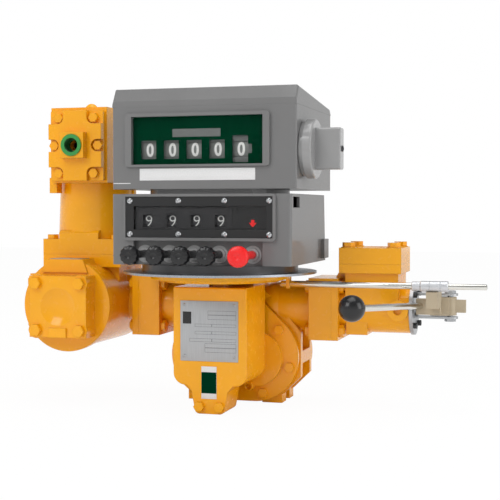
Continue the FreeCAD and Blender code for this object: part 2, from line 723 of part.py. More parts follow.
def repeat_round(body, feature, count):
    """Repeat a feature about the axis across its sketch, through the sketch's origin."""
    pattern = body.newObject("PartDesign::PolarPattern", "Pattern")
    pattern.Originals = [feature]
    pattern.Axis = (feature.Profile[0], ["N_Axis"])
    pattern.Angle = 360
    pattern.Occurrences = round(float(count))
    pattern.setExpression("Occurrences", count.text)
    body.Tip = pattern
    return pattern


def spin(body, role, draw, axis="V_Axis"):
    """A body of revolution about an axis of the sketch."""
    sketch = plane_sketch(body, role, 0)
    draw(sketch)
    feature = body.newObject("PartDesign::Revolution", "Revolution")
    feature.Profile = sketch
    feature.ReferenceAxis = (sketch, [axis])
    bind(feature, Angle=360)
    return feature


def round_edges(body, radius, chosen):
    """Fillet the edges of a body that a test chooses."""
    doc.recompute()
    base = body.Tip
    names = [f"Edge{i}" for i, edge in enumerate(base.Shape.Edges, start=1) if chosen(edge)]
    if not names:
        raise RuntimeError(f"no edge to round on {body.Name}")
    feature = body.newObject("PartDesign::Fillet", "Fillet")
    feature.Base = (base, names)
    bind(feature, Radius=radius)
    return feature


def runs_along(edge, axis):
    """Whether an edge is a straight line along x, y or z."""
    if edge.Curve.TypeId != "Part::GeomLine":
        return False
    return abs(getattr(edge.Curve.Direction, axis)) > 0.999


def near(number, size):
    return abs(number - float(size)) < 0.01


def slab(name, role, draw, low, high):
    """A body that is one outline between two levels."""
    body = new_body(name)
    pad(body, role, draw, low, high)
    return body


def turned(obj, angle, x=0, y=0, z=0):
    """Place a body and turn it about its own Y axis, from +X towards +Z."""
    obj.Placement = FreeCAD.Placement(FreeCAD.Vector(), FreeCAD.Rotation(Y_AXIS, -1))
    obj.setExpression("Placement.Rotation.Angle", (360 - angle).text)
    return move_to(obj, x, y, z)


# ---- measuring chamber -----------------------------------------------------------------------------

centres = s.gear_module * (s.displacement_teeth + s.blocking_teeth) / 2
blocking_height = s.displacement_height + root(centres * centres - s.displacement_spread * s.displacement_spread)
blocking_radius = centres - s.hub_radius - s.rotor_play
blocking_hub = centres - s.blade_radius - s.rotor_play
to_blocking = bearing(blocking_height - s.displacement_height, s.displacement_spread)
left_phase = to_blocking
right_phase = 270 - 2 * to_blocking
blocking_phase = to_blocking + 180
blade_bore = s.blade_radius + s.rotor_play
blocking_bore = blocking_radius + s.rotor_play
plate_front = s.housing_front - s.plate_thickness
plate_back = s.housing_back + s.plate_thickness
cover_front = plate_front - s.cover_thickness
cover_back = plate_back + s.cover_thickness
gear_case_front = cover_front - s.gear_case_depth
rotor_front = s.housing_front + s.rotor_play
rotor_back = s.housing_back - s.rotor_play
gear_back = plate_front - 1
gear_front = gear_back - s.gear_width
disc_bottom = s.adapter_top
base_bottom = disc_bottom + s.disc_thickness
case_bottom = base_bottom + s.base_height
shaft_bore = s.shaft_radius + s.shaft_play
seat_bore = s.shaft_radius + s.seat_play

SHAFTS = (
    (-s.displacement_spread, s.displacement_height),
    (s.displacement_spread, s.displacement_height),
    (0, blocking_height),
)


def corner_bolts():
    """Cover bolts (x, z) round the three corners of the covers."""
    spots = []
    for side in (-1, 1):
        for angle in (-76, -15, 47):
            reach = s.cover_bolt_circle
            out = side * (s.lobe_spread + reach * cosine(angle))
            spots.append((s.cover_middle + out, s.lobe_height + reach * sine(angle)))
        reach = s.cover_bolt_circle
        spots.append((s.cover_middle + side * reach * cosine(58), s.lobe_top + reach * sine(58)))
    return spots


def cover_outline(radius):
    """The outline of covers and plates: a belt round three discs."""
    return rounded(
        [
            (s.cover_middle - s.lobe_spread, s.lobe_height, radius),
            (s.cover_middle + s.lobe_spread, s.lobe_height, radius),
            (s.cover_middle, s.lobe_top, radius),
        ]
    )


def shaft_outline(radius, top_radius=None):
    """A belt round the three shafts, with its own radius at the top one if that is given."""
    return rounded(
        [
            (-s.displacement_spread, s.displacement_height, radius),
            (s.displacement_spread, s.displacement_height, radius),
            (0, blocking_height, radius if top_radius is None else top_radius),
        ]
    )


def wedge(radius, middle, angle):
    """A kite from the centre that covers a sector of a disc."""
    far = 1.5 * radius
    spots = [(as_size(0), as_size(0))]
    for share in (-1, 0, 1):
        direction = middle + angle * share / 2
        spots.append((far * cosine(direction), far * sine(direction)))
    return polygon(spots)


def displacement_rotor(name, phase, x):
    body = new_body(name)
    pad(body, "XZ_Plane", circle(0, 0, s.blade_radius), rotor_front, rotor_back)
    for middle in (90, 270):
        pocket(body, "XZ_Plane", wedge(s.blade_radius, middle, 180 - s.blade_angle), rotor_front, rotor_back)
    pad(body, "XZ_Plane", circle(0, 0, s.hub_radius), rotor_front, rotor_back)
    pad(body, "XZ_Plane", circle(0, 0, s.shaft_radius), gear_front, plate_back + 2)
    return node(name, turned(body, phase, x, 0, s.displacement_height))


def rotor_gear(name, teeth, phase, x, z, tooth):
    """A timing gear; a tooth or a gap points along its phase direction."""
    pitch = s.gear_module * teeth / 2
    tip = pitch + 0.75 * s.gear_module
    body = new_body(name)
    pad(body, "XZ_Plane", circle(0, 0, tip), gear_front, gear_back)
    gap = pocket(body, "XZ_Plane", gear_gap(teeth, tooth), gear_front, gear_back)
    repeat_round(body, gap, teeth)
    pocket(body, "XZ_Plane", circle(0, 0, seat_bore), gear_front, gear_back)
    return node(name, turned(body, phase, x, 0, z))


def tangent(angle):
    return sine(angle) / cosine(angle)


def involute(angle):
    """Involute function of a pressure angle, in degrees."""
    return tangent(angle) * (180 / math.pi) - angle


def pressure_at(radius, base):
    number = math.degrees(math.acos(min(1.0, base.number / radius.number)))
    return Size(number, f"(acos(min(1; {base.text} / {radius.text})) / 1deg)")


def gear_gap(teeth, tooth):
    """The gap between two teeth, from under the root to beyond the tip."""
    pitch = s.gear_module * teeth / 2
    base = pitch * cosine(20)
    floor = pitch - s.gear_module
    tip = pitch + 0.75 * s.gear_module
    middle = 180 / teeth if tooth else as_size(0)
    widen = 90 / teeth + s.tooth_play / 2 / pitch * (180 / math.pi) - involute(as_size(20))
    flank = [(floor, widen)]
    for share in (0, 1 / 3, 2 / 3, 1):
        radius = base + (tip - base) * share
        flank.append((radius, widen + involute(pressure_at(radius, base))))
    flank.append((1.1 * tip, flank[-1][1]))
    spots = [(radius * cosine(middle - half), radius * sine(middle - half)) for radius, half in flank]
    spots += [(radius * cosine(middle + half), radius * sine(middle + half)) for radius, half in reversed(flank)]
    return polygon(spots)


# housing: barrel, end rims, ribs, feet, pedestal, port ducts and port flanges
barrel_radius = blade_bore + s.housing_wall
barrel = slab(
    "Barrel",
    "XZ_Plane",
    shaft_outline(barrel_radius),
    s.housing_front,
    s.housing_back,
)
HALF_RIM = (
    (58, s.rim_bottom),
    (s.foot_outer, s.rim_corner),
    (84, 26),
    (s.rim_half_width, s.rim_low),
    (s.rim_half_width, s.rim_high),
    (60, 150),
    (s.pedestal_half, s.rim_top),
)
rim_outline = [(s.cover_middle + x, z) for x, z in HALF_RIM]
rim_outline += [(s.cover_middle - x, z) for x, z in reversed(HALF_RIM)]
rims = [
    slab("Rim", "XZ_Plane", polygon(rim_outline), s.housing_front, s.housing_front + s.rim_thickness),
    slab("Rim", "XZ_Plane", polygon(rim_outline), s.housing_back - s.rim_thickness, s.housing_back),
]
pedestal = slab(
    "Pedestal",
    "YZ_Plane",
    polygon(
        [
            (-50, s.adapter_bottom),
            (-50, 170),
            (s.housing_front, 168),
            (s.housing_front, s.port_height),
            (s.pedestal_back, s.port_height),
            (s.pedestal_back, s.adapter_bottom),
        ]
    ),
    -s.pedestal_half,
    s.pedestal_half,
)
casting = [barrel, pedestal] + rims
flow = []
for side in (-1, 1):

    def across(inner, outer):
        return sorted((side * inner, side * outer), key=float)

    rib_end = s.rim_half_width + side * s.cover_middle
    casting.append(box(across(s.rib_inner, rib_end), (s.housing_front, s.housing_back), (s.rib_low, s.rib_high)))
    for y in ((s.housing_front, s.housing_front + s.foot_depth), (s.housing_back - s.foot_depth, s.housing_back)):
        casting.append(box(across(s.foot_inner, s.foot_outer), y, (0, s.foot_height)))
    for y in mirrored([s.foot_hole_y]):
        flow.append(rod("z", s.foot_hole, (0, s.foot_height), (side * s.foot_hole_x, y)))
    casting.append(rod("x", s.duct_radius, across(s.duct_bend, s.port_flange_inner + 1), (0, s.port_height)))
    casting.append(ball(s.duct_radius + 1, side * s.duct_bend, 0, s.port_height))
    casting.append(rod("z", s.duct_radius, (s.duct_foot, s.port_height), (side * s.duct_bend, 0)))
    casting.append(
        box(
            across(s.port_flange_inner, s.port_flange_outer),
            (-s.port_flange_half, s.port_flange_half),
            (s.port_height - s.port_flange_half, s.port_height + s.port_flange_half),
        )
    )
    flow.append(rod("x", s.port_bore, across(s.passage_bend, s.port_flange_outer), (0, s.port_height)))
    flow.append(ball(s.port_bore + 1, side * s.passage_bend, 0, s.port_height))
    flow.append(rod("z", s.port_bore, (s.passage_foot, s.port_height), (side * s.passage_bend, 0)))
    for y in mirrored([s.port_bolt_half]):
        for z in mirrored([s.port_bolt_half]):
            hole = s.flange_bolt_radius + s.bolt_play
            flow.append(rod("x", hole, across(s.port_flange_inner, s.port_flange_outer), (y, s.port_height + z)))
for x, z in SHAFTS:
    bore = blocking_bore if float(as_size(x)) == 0 else blade_bore
    flow.append(rod("y", bore, (s.housing_front, s.housing_back), (x, z)))
for x, z in corner_bolts():
    hole = s.cover_bolt_radius + s.bolt_play
    flow.append(rod("y", hole, (s.housing_front, s.housing_front + s.rim_thickness), (x, z)))
    flow.append(rod("y", hole, (s.housing_back - s.rim_thickness, s.housing_back), (x, z)))
flow.append(
    slab("FaceCut", "XZ_Plane", cover_outline(s.cover_radius + 1), cover_front, s.housing_front)
)
node("meter_housing", cut(join(casting), flow))

# bearing plates on both ends of the housing
plates = []
for front, back in ((plate_front, s.housing_front), (s.housing_back, plate_back)):
    plate = slab("Plate", "XZ_Plane", cover_outline(s.plate_radius), front, back)
    holes = [rod("y", shaft_bore, (front, back), spot) for spot in SHAFTS]
    holes += [rod("y", s.cover_bolt_radius + s.bolt_play, (front, back), spot) for spot in corner_bolts()]
    plates.append(cut(plate, holes))
node("bearing_plates", group(plates))

displacement_rotor("displacement_rotor_left", left_phase, -s.displacement_spread)
displacement_rotor("displacement_rotor_right", right_phase, s.displacement_spread)
rotor_gear("displacement_gear_left", s.displacement_teeth, left_phase, -s.displacement_spread, s.displacement_height, True)
rotor_gear("displacement_gear_right", s.displacement_teeth, right_phase, s.displacement_spread, s.displacement_height, True)
rotor_gear("blocking_gear", s.blocking_teeth, blocking_phase, 0, blocking_height, False)

# blocking rotor with its long shaft through the packing gland
bevel_pitch = s.bevel_module * s.bevel_teeth / 2
bevel_back = s.drive_y + bevel_pitch
nose_start = bevel_back + s.bevel_hub_length
body = new_body("blocking_rotor")
pad(body, "XZ_Plane", circle(0, 0, blocking_radius), rotor_front, rotor_back)
pocket(body, "XZ_Plane", wedge(blocking_radius, 0, s.pocket_angle), rotor_front, rotor_back)
pad(body, "XZ_Plane", circle(0, 0, blocking_hub), rotor_front, rotor_back)
pad(body, "XZ_Plane", circle(0, 0, s.shaft_radius), nose_start, plate_back + 2)
pad(body, "XZ_Plane", circle(0, 0, s.nose_radius), bevel_back - s.bevel_face, nose_start)
node("blocking_rotor", turned(body, blocking_phase, 0, 0, blocking_height))

# front cover with the gear case and the drain boss
gear_tip = s.gear_module * (s.displacement_teeth / 2 + 0.75)
case_radius = gear_tip + s.gear_play
body = new_body("front_cover")
pad(body, "XZ_Plane", cover_outline(s.cover_radius), cover_front, plate_front)
pad(
    body,
    "XZ_Plane",
    shaft_outline(case_radius + s.gear_case_wall, s.gear_case_top),
    gear_case_front,
    cover_front,
)
drain_front = gear_case_front - s.drain_proud
pad(body, "XZ_Plane", circle(s.drain_x, s.drain_z, s.drain_radius), drain_front, cover_front)
pocket(
    body,
    "XZ_Plane",
    shaft_outline(case_radius, s.gear_case_top - s.gear_case_wall),
    gear_case_front + s.gear_case_wall,
    plate_front,
)
pocket(body, "XZ_Plane", circle(0, blocking_height, s.gland_sleeve + s.seat_play), gear_case_front, plate_front)
for x, z in corner_bolts():
    pocket(body, "XZ_Plane", circle(x, z, s.cover_bolt_radius + s.bolt_play), cover_front, plate_front)
socket_end = drain_front + s.drain_socket_depth
head_spot = s.cover_head_flats / math.sqrt(3) + s.bolt_play
head_front = cover_front - s.cover_head_height
sunk = [rod("y", head_spot, (head_front, cover_front), spot) for spot in corner_bolts()]
sunk.append(hexagon("y", s.drain_socket, (drain_front, socket_end), (s.drain_x, s.drain_z)))
node("front_cover", cut(body, sunk))

# rear cover
body = new_body("rear_cover")
pad(body, "XZ_Plane", cover_outline(s.cover_radius), plate_back, cover_back)
pad(
    body,
    "XZ_Plane",
    shaft_outline(s.rear_boss_radius),
    cover_back,
    cover_back + s.rear_boss_depth,
)
for x, z in SHAFTS:
    pocket(body, "XZ_Plane", circle(x, z, s.shaft_radius + 2), plate_back, plate_back + 3)
for x, z in corner_bolts():
    pocket(body, "XZ_Plane", circle(x, z, s.cover_bolt_radius + s.bolt_play), plate_back, cover_back)
node("rear_cover", body)

# packing gland round the blocking shaft
gland_back = gear_case_front + s.gear_case_wall + 2
gland_front = gear_case_front - s.gland_thickness
gland = join(
    [
        rod("y", s.gland_collar, (gland_front, gear_case_front), (0, blocking_height)),
        rod("y", s.gland_sleeve, (gland_front, gland_back), (0, blocking_height)),
        hexagon("y", s.gland_nut_flats, (gland_front - s.gland_nut_length, gland_front), (0, blocking_height)),
    ]
)
node("packing_gland", cut(gland, [rod("y", shaft_bore, (gland_front - s.gland_nut_length, gland_back), (0, blocking_height))]))


# mitre gears between the blocking shaft and the vertical output shaft
def loft(body, role, kind, outlines):
    """A straight-sided loft, added or cut, between two outlines at their levels."""
    sketches = []
    for level, draw in outlines:
        sketch = plane_sketch(body, role, level)
        draw(sketch)
        sketches.append(sketch)
    doc.recompute()
    feature = body.newObject(kind, "Loft")
    feature.Profile = sketches[0]
    feature.Sections = sketches[1:]
    feature.Ruled = True
    return feature


def mitre_gear(name, role, first_gap):
    """A mitre gear about the crossing of its axes, on the positive side; gaps start at an angle."""
    tip = bevel_pitch + 0.7 * s.bevel_module * math.sqrt(2)
    floor = bevel_pitch - 0.9 * s.bevel_module * math.sqrt(2)
    front_share = (bevel_pitch - s.bevel_face) / bevel_pitch
    slope = tangent(as_size(20)) / math.sqrt(2) * (180 / math.pi) / bevel_pitch
    half = 90 / s.bevel_teeth + s.bevel_play / 2 / bevel_pitch * (180 / math.pi)

    def gap(share):
        spots = []
        for side, radii in ((-1, (floor, 1.15 * tip)), (1, (1.15 * tip, floor))):
            for radius in radii:
                angle = first_gap + side * (half + (radius - bevel_pitch) * slope)
                spots.append((share * radius * cosine(angle), share * radius * sine(angle)))
        return polygon(spots)

    front = bevel_pitch - s.bevel_face
    body = new_body(name)
    loft(
        body,
        role,
        "PartDesign::AdditiveLoft",
        [(bevel_pitch, circle(0, 0, tip)), (front, circle(0, 0, front_share * tip))],
    )
    doc.recompute()
    cutter = loft(body, role, "PartDesign::SubtractiveLoft", [(bevel_pitch, gap(as_size(1))), (front, gap(front_share))])
    repeat_round(body, cutter, s.bevel_teeth)
    pad(body, role, circle(0, 0, s.bevel_hub_radius), bevel_pitch, bevel_pitch + s.bevel_hub_length)
    return body


step = 180 / s.bevel_teeth
body = mitre_gear("drive_bevel_gear", "XZ_Plane", 90 + step)
pocket(
    body,
    "XZ_Plane",
    circle(0, 0, s.nose_radius + s.seat_play),
    bevel_pitch - s.bevel_face,
    bevel_pitch + s.bevel_hub_length,
)
node("drive_bevel_gear", move_to(body, 0, s.drive_y, blocking_height))
body = move_to(mitre_gear("OutputGear", "XY_Plane", as_size(90)), 0, s.drive_y, blocking_height)
output_rod = rod("z", s.output_radius, (blocking_height + bevel_pitch, s.output_top), (0, s.drive_y))
node("output_shaft", join([body, output_rod]))

# dust cover over the drive
DUST_OUTLINE = (
    (s.dust_half, s.dust_top),
    (s.dust_half, s.dust_shoulder),
    (s.dust_shoulder_half, s.dust_shoulder),
    (s.dust_waist_half, s.dust_waist),
    (s.dust_foot_half, as_size(0)),
)
outline = [(-x, z) for x, z in DUST_OUTLINE] + [(x, z) for x, z in reversed(DUST_OUTLINE)]
foot_back = s.dust_front + s.dust_foot_depth
body = new_body("dust_cover")
pad(body, "XZ_Plane", polygon(outline), s.dust_front, gear_case_front)
pocket(
    body,
    "XZ_Plane",
    rectangle((-s.dust_half, s.dust_half), (-1, s.dust_waist)),
    foot_back,
    gear_case_front,
)


def dust_corner(edge):
    middle = edge.CenterOfMass
    return runs_along(edge, "y") and near(abs(middle.x), s.dust_half) and near(middle.z, s.dust_shoulder)


def foot_corner(edge):
    middle = edge.CenterOfMass
    return runs_along(edge, "y") and near(abs(middle.x), s.dust_foot_half) and near(middle.z, 0)


def dust_front_edge(edge):
    middle = edge.CenterOfMass
    return near(middle.y, s.dust_front) and middle.z > float(s.dust_shoulder) - 1


round_edges(body, s.dust_corner, dust_corner)
round_edges(body, s.dust_foot_corner, foot_corner)
inside = s.dust_half - s.dust_wall
pocket(
    body,
    "XZ_Plane",
    rounded(
        [
            (-(inside - s.dust_corner), s.dust_shoulder + s.dust_wall + s.dust_corner, s.dust_corner),
            (inside - s.dust_corner, s.dust_shoulder + s.dust_wall + s.dust_corner, s.dust_corner),
            (inside - 4, s.dust_top - s.dust_wall - 4, as_size(4)),
            (4 - inside, s.dust_top - s.dust_wall - 4, as_size(4)),
        ]
    ),
    s.dust_front + s.dust_wall,
    gear_case_front,
)
pocket(
    body,
    "XY_Plane",
    circle(-s.dust_x, s.drive_y, s.sleeve_radius + 1),
    s.dust_top - s.dust_wall,
    s.dust_top,
)
for x in mirrored([s.dust_bolt_x]):
    pocket(
        body,
        "XZ_Plane",
        circle(x, s.dust_bolt_z, s.cover_bolt_radius + s.bolt_play),
        s.dust_front,
        s.dust_front + s.cover_bolt_length + 1,
    )
round_edges(body, as_size(2), dust_front_edge)
node("dust_cover", move_to(body, s.dust_x))


# bolts of the covers and of the dust cover's foot
def cap_screw(axis_y, x, z, toward):
    """A hexagon bolt along Y; its head is on the side it faces."""
    if toward < 0:
        head, shank = (axis_y - s.cover_head_height, axis_y), (axis_y, axis_y + s.cover_bolt_length)
    else:
        head, shank = (axis_y, axis_y + s.cover_head_height), (axis_y - s.cover_bolt_length, axis_y)
    return join([hexagon("y", s.cover_head_flats, head, (x, z)), rod("y", s.cover_bolt_radius, shank, (x, z))])


bolts = [cap_screw(cover_front, x, z, -1) for x, z in corner_bolts()]
bolts += [cap_screw(cover_back, x, z, 1) for x, z in corner_bolts()]
bolts += [cap_screw(s.dust_front, s.dust_x + x, s.dust_bolt_z, -1) for x in mirrored([s.dust_bolt_x])]
node("cover_bolts", group(bolts))

# adapter dish with its bearing sleeve, mounting disc and preset base
drive_spot = (as_size(0), s.drive_y)
dish = join(
    [
        cone("z", (s.adapter_floor_radius, s.adapter_radius), (s.adapter_bottom, s.adapter_rim), drive_spot),
        rod("z", s.adapter_radius, (s.adapter_rim, s.adapter_top), drive_spot),
        rod("z", s.sleeve_radius, (s.sleeve_bottom, s.adapter_bottom + 1), drive_spot),
    ]
)
output_bore = s.output_radius + s.shaft_play
lug_half = s.trip_radius + 1.5
lug = box(
    (s.trip_guide_left, s.trip_guide_right),
    (s.trip_y - lug_half, s.trip_y + lug_half),
    (s.trip_z - lug_half, s.adapter_top - 1),
)
holes = [
    rod("z", output_bore, (s.sleeve_bottom, s.adapter_top), drive_spot),
    rod("x", s.trip_radius + s.shaft_play, (s.trip_guide_left, s.trip_guide_right), (s.trip_y, s.trip_z)),
]
node("register_adapter", cut(join([dish, lug]), holes))


def ring(name, outside, inside, low, high):
    body = slab(name, "XY_Plane", circle(0, s.drive_y, outside), low, high)
    pocket(body, "XY_Plane", circle(0, s.drive_y, inside), low, high)
    return node(name, body)


ring("mounting_plate", s.disc_radius, s.drive_hole, disc_bottom, base_bottom)
ring("preset_base", s.base_radius, s.drive_hole, base_bottom, case_bottom)

# ---- preset counter --------------------------------------------------------------------------------

preset_wheels = [s.preset_wheel_first + i * s.preset_wheel_pitch for i in range(4)]
preset_bezel_front = s.case_front - s.frame_proud + 1
preset_bezel_back = preset_bezel_front + s.bezel_thickness
button_wall = s.case_front + s.button_panel_depth
button_spots = [(f"preset_button_{i + 1}", s.button_first + i * s.button_pitch, s.button_front) for i in range(4)]
button_spots.append(("stop_button", s.stop_x, s.stop_front))
preset_low = case_bottom + s.case_wall


def corner_box(x, z, radius):
    """The outline of a rectangle with rounded corners, given by its sides."""
    return rounded(
        [
            (x[0] + radius, z[0] + radius, radius),
            (x[1] - radius, z[0] + radius, radius),
            (x[1] - radius, z[1] - radius, radius),
            (x[0] + radius, z[1] - radius, radius),
        ]
    )


def upright_front(edge):
    return runs_along(edge, "z") and near(edge.CenterOfMass.y, s.case_front)


body = new_body("preset_case")
pad(
    body,
    "YZ_Plane",
    polygon(
        [
            (s.case_front, case_bottom),
            (s.preset_back_low, case_bottom),
            (s.preset_back_top, s.preset_top),
            (s.case_front, s.preset_top),
        ]
    ),
    s.preset_left,
    s.preset_right,
)
round_edges(body, s.case_corner, upright_front)
pad(
    body,
    "XZ_Plane",
    corner_box((s.frame_left, s.frame_right), (s.frame_low, s.preset_top), s.case_corner),
    s.case_front - s.frame_proud,
    s.case_front,
)
for x in ((s.preset_left - s.preset_pad, s.preset_left + 1), (s.preset_right - 1, s.preset_right + s.preset_pad)):
    pad(
        body,
        "YZ_Plane",
        rectangle(
            (s.preset_back_low - s.preset_pad_depth, s.preset_back_low), (s.preset_pad_low, s.preset_pad_high)
        ),
        x[0],
        x[1],
    )
pocket(
    body,
    "YZ_Plane",
    polygon(
        [
            (button_wall + s.case_wall, preset_low),
            (s.preset_back_low - s.case_wall - 1, preset_low),
            (s.preset_back_top - s.case_wall - 1, s.preset_top - s.case_wall),
            (s.case_front + s.case_wall, s.preset_top - s.case_wall),
            (s.case_front + s.case_wall, s.button_panel_high + s.case_wall),
            (button_wall + s.case_wall, s.button_panel_high + s.case_wall),
        ]
    ),
    s.preset_left + s.case_wall,
    s.preset_right - s.case_wall,
)
pocket(
    body,
    "XZ_Plane",
    rectangle((s.button_panel_left, s.button_panel_right), (case_bottom, s.button_panel_high)),
    s.case_front,
    button_wall,
)
for name, x, front in button_spots:
    pad(body, "XZ_Plane", circle(x, s.button_z, s.button_ring), button_wall - s.button_ring_depth, button_wall)
for name, x, front in button_spots:
    pocket(
        body,
        "XZ_Plane",
        circle(x, s.button_z, s.button_stem + s.shaft_play),
        button_wall - s.button_ring_depth,
        button_wall + s.case_wall,
    )
pocket(
    body,
    "XZ_Plane",
    rectangle(
        (s.bezel_left - s.bezel_play, s.bezel_right + s.bezel_play),
        (s.bezel_low - s.bezel_play, s.bezel_high + s.bezel_play),
    ),
    s.case_front - s.frame_proud,
    preset_bezel_back,
)
pocket(
    body,
    "XZ_Plane",
    rectangle(
        (s.bezel_window_left - 2, s.bezel_window_right + 2), (s.bezel_window_low - 3, s.bezel_window_high + 3)
    ),
    preset_bezel_back,
    s.case_front + s.case_wall,
)
pocket(
    body,
    "YZ_Plane",
    rectangle((s.notch_front, s.notch_back), (s.notch_low, s.preset_top - s.case_wall)),
    s.preset_right - s.case_wall,
    s.preset_right,
)
for level in ((case_bottom, preset_low), (s.preset_top - s.case_wall, s.preset_top)):
    pocket(body, "XY_Plane", circle(0, s.drive_y, s.drive_hole), level[0], level[1])
node("preset_case", body)

body = new_body("preset_bezel")
pad(
    body,
    "XZ_Plane",
    rectangle((s.bezel_left, s.bezel_right), (s.bezel_low, s.bezel_high)),
    preset_bezel_front,
    preset_bezel_back,
)
mask_front = preset_bezel_back - s.mask_thickness
preset_window_x = (s.bezel_window_left, s.bezel_window_right)
preset_window_z = (s.bezel_window_low, s.bezel_window_high)
pocket(body, "XZ_Plane", rectangle(preset_window_x, preset_window_z), preset_bezel_front, mask_front)
for x in preset_wheels:
    pocket(
        body,
        "XZ_Plane",
        rectangle(
            (x - s.preset_slot_half_width, x + s.preset_slot_half_width),
            (s.preset_axis_z - s.preset_slot_half_height, s.preset_axis_z + s.preset_slot_half_height),
        ),
        mask_front,
        preset_bezel_back,
    )
node("preset_bezel", body)

# clear panes of both counters
dial_front = s.case_front + s.case_wall
pane_gap = s.bezel_play / 2
panes = []
for across, up, front in (
    (preset_window_x, preset_window_z, preset_bezel_front + 1),
    ((s.window_left, s.window_right), (s.window_low, s.window_high), s.case_front - 1),
):
    panes.append(
        box(
            (across[0] + pane_gap, across[1] - pane_gap),
            (front, front + s.pane_thickness),
            (up[0] + pane_gap, up[1] - pane_gap),
        )
    )
node("counter_windows", group(panes))

wheel_bore = s.wheel_shaft_radius + s.shaft_play


def number_wheel(name, x, width, radius, axis):
    body = slab(name, "YZ_Plane", circle(0, 0, radius), -width / 2, width / 2)
    pocket(body, "YZ_Plane", circle(0, 0, wheel_bore), -width / 2, width / 2)
    for low, high in ((-width / 2, 2 - width / 2), (width / 2 - 2, width / 2)):
        pocket(body, "YZ_Plane", circle(0, 0, radius - 4), low, high)
        pad(body, "YZ_Plane", circle(0, 0, s.wheel_shaft_radius + 3), low, high)
        pocket(body, "YZ_Plane", circle(0, 0, wheel_bore), low, high)
    return node(name, move_to(body, x, axis[0], axis[1]))


for i, x in enumerate(preset_wheels, start=1):
    number_wheel(
        f"preset_wheel_{i}", x, s.preset_wheel_width, s.preset_wheel_radius, (s.preset_axis_y, s.preset_axis_z)
    )
register_wheels = [s.register_wheel_first + i * s.register_wheel_pitch for i in range(5)]
register_axis = (s.register_axis_y, s.register_axis_z)
for i, x in enumerate(register_wheels, start=1):
    number_wheel(f"register_wheel_{i}", x, s.register_wheel_width, s.register_wheel_radius, register_axis)
register_inside = s.register_half - s.case_wall
shafts = [
    rod(
        "x",
        s.wheel_shaft_radius,
        (s.preset_left + s.case_wall, s.preset_right - s.case_wall),
        (s.preset_axis_y, s.preset_axis_z),
    ),
    rod("x", s.wheel_shaft_radius, (-register_inside, register_inside), register_axis),
]
node("wheel_shafts", group(shafts))

# buttons
for name, x, front in button_spots:
    spot = (x, s.button_z)
    neck = front + s.button_head
    button = join(
        [
            rod("y", s.button_radius, (front, front + s.button_head / 2), spot),
            cone("y", (s.button_radius, s.button_neck), (front + s.button_head / 2, neck), spot),
            rod("y", s.button_stem, (neck, s.button_stem_back), spot),
            rod("y", s.button_collar, (button_wall + s.case_wall, button_wall + s.case_wall + 3), spot),
        ]
    )
    node(name, button)

# ---- register --------------------------------------------------------------------------------------

lid_edge = s.register_seam + s.lid_edge_rise
lid_peak = s.register_seam + s.lid_peak_rise
lid_back_top = s.register_seam + s.lid_back_rise
floor = s.register_bottom + s.case_wall
body = new_body("register_case")
pad(
    body,
    "XY_Plane",
    rectangle((-s.register_half, s.register_half), (s.case_front, s.register_back)),
    s.register_bottom,
    s.register_seam,
)
round_edges(body, as_size(3), lambda edge: runs_along(edge, "z"))
pad(
    body,
    "XZ_Plane",
    corner_box(
        (s.window_left - s.window_rim, s.window_right + s.window_rim),
        (s.window_low - s.window_rim / 3, s.window_high + s.window_rim / 2),
        s.case_corner,
    ),
    s.case_front - s.frame_proud,
    s.case_front,
)
pad(body, "XY_Plane", circle(0, s.drive_y, s.neck_radius), s.preset_top, s.register_bottom)
neck_flat = s.case_front + 2 * s.case_wall
pocket(
    body,
    "XY_Plane",
    rectangle((-s.neck_radius, s.neck_radius), (s.drive_y - s.neck_radius - 1, neck_flat)),
    s.preset_top,
    s.register_bottom,
)
pocket(
    body,
    "XY_Plane",
    rectangle((-register_inside, register_inside), (dial_front, s.register_back - s.case_wall)),
    floor,
    s.register_seam,
)
pocket(body, "XY_Plane", circle(0, s.drive_y, s.drive_hole), s.preset_top, floor)
pocket(
    body,
    "XZ_Plane",
    rectangle((s.window_left, s.window_right), (s.window_low, s.window_high)),
    s.case_front - s.frame_proud,
    dial_front,
)
pocket(
    body,
    "YZ_Plane",
    circle(register_axis[0], register_axis[1], s.knob_stub + s.shaft_play),
    register_inside,
    s.register_half,
)
node("register_case", body)

LID_INSIDE = s.lid_wall / 2
body = new_body("register_lid")
pad(
    body,
    "YZ_Plane",
    polygon(
        [
            (s.case_front, s.register_seam),
            (s.register_back, s.register_seam),
            (s.register_back, lid_back_top - s.lid_back_edge),
            (s.register_back - s.lid_back_edge, lid_back_top),
            (s.lid_peak_y, lid_peak),
            (s.case_front, lid_edge),
        ]
    ),
    -s.register_half,
    s.register_half,
)


def lid_side_edge(edge):
    middle = edge.CenterOfMass
    return middle.z > float(lid_edge) + 2 and near(abs(middle.x), s.register_half)


round_edges(body, s.lid_wall, lid_side_edge)
pocket(
    body,
    "YZ_Plane",
    polygon(
        [
            (dial_front, s.register_seam),
            (s.register_back - s.case_wall, s.register_seam),
            (s.register_back - s.lid_back_edge - LID_INSIDE, lid_back_top - s.lid_wall - LID_INSIDE),
            (s.lid_peak_y + LID_INSIDE, lid_peak - s.lid_wall - LID_INSIDE),
            (dial_front, lid_edge),
        ]
    ),
    -register_inside,
    register_inside,
)
node("register_lid", body)

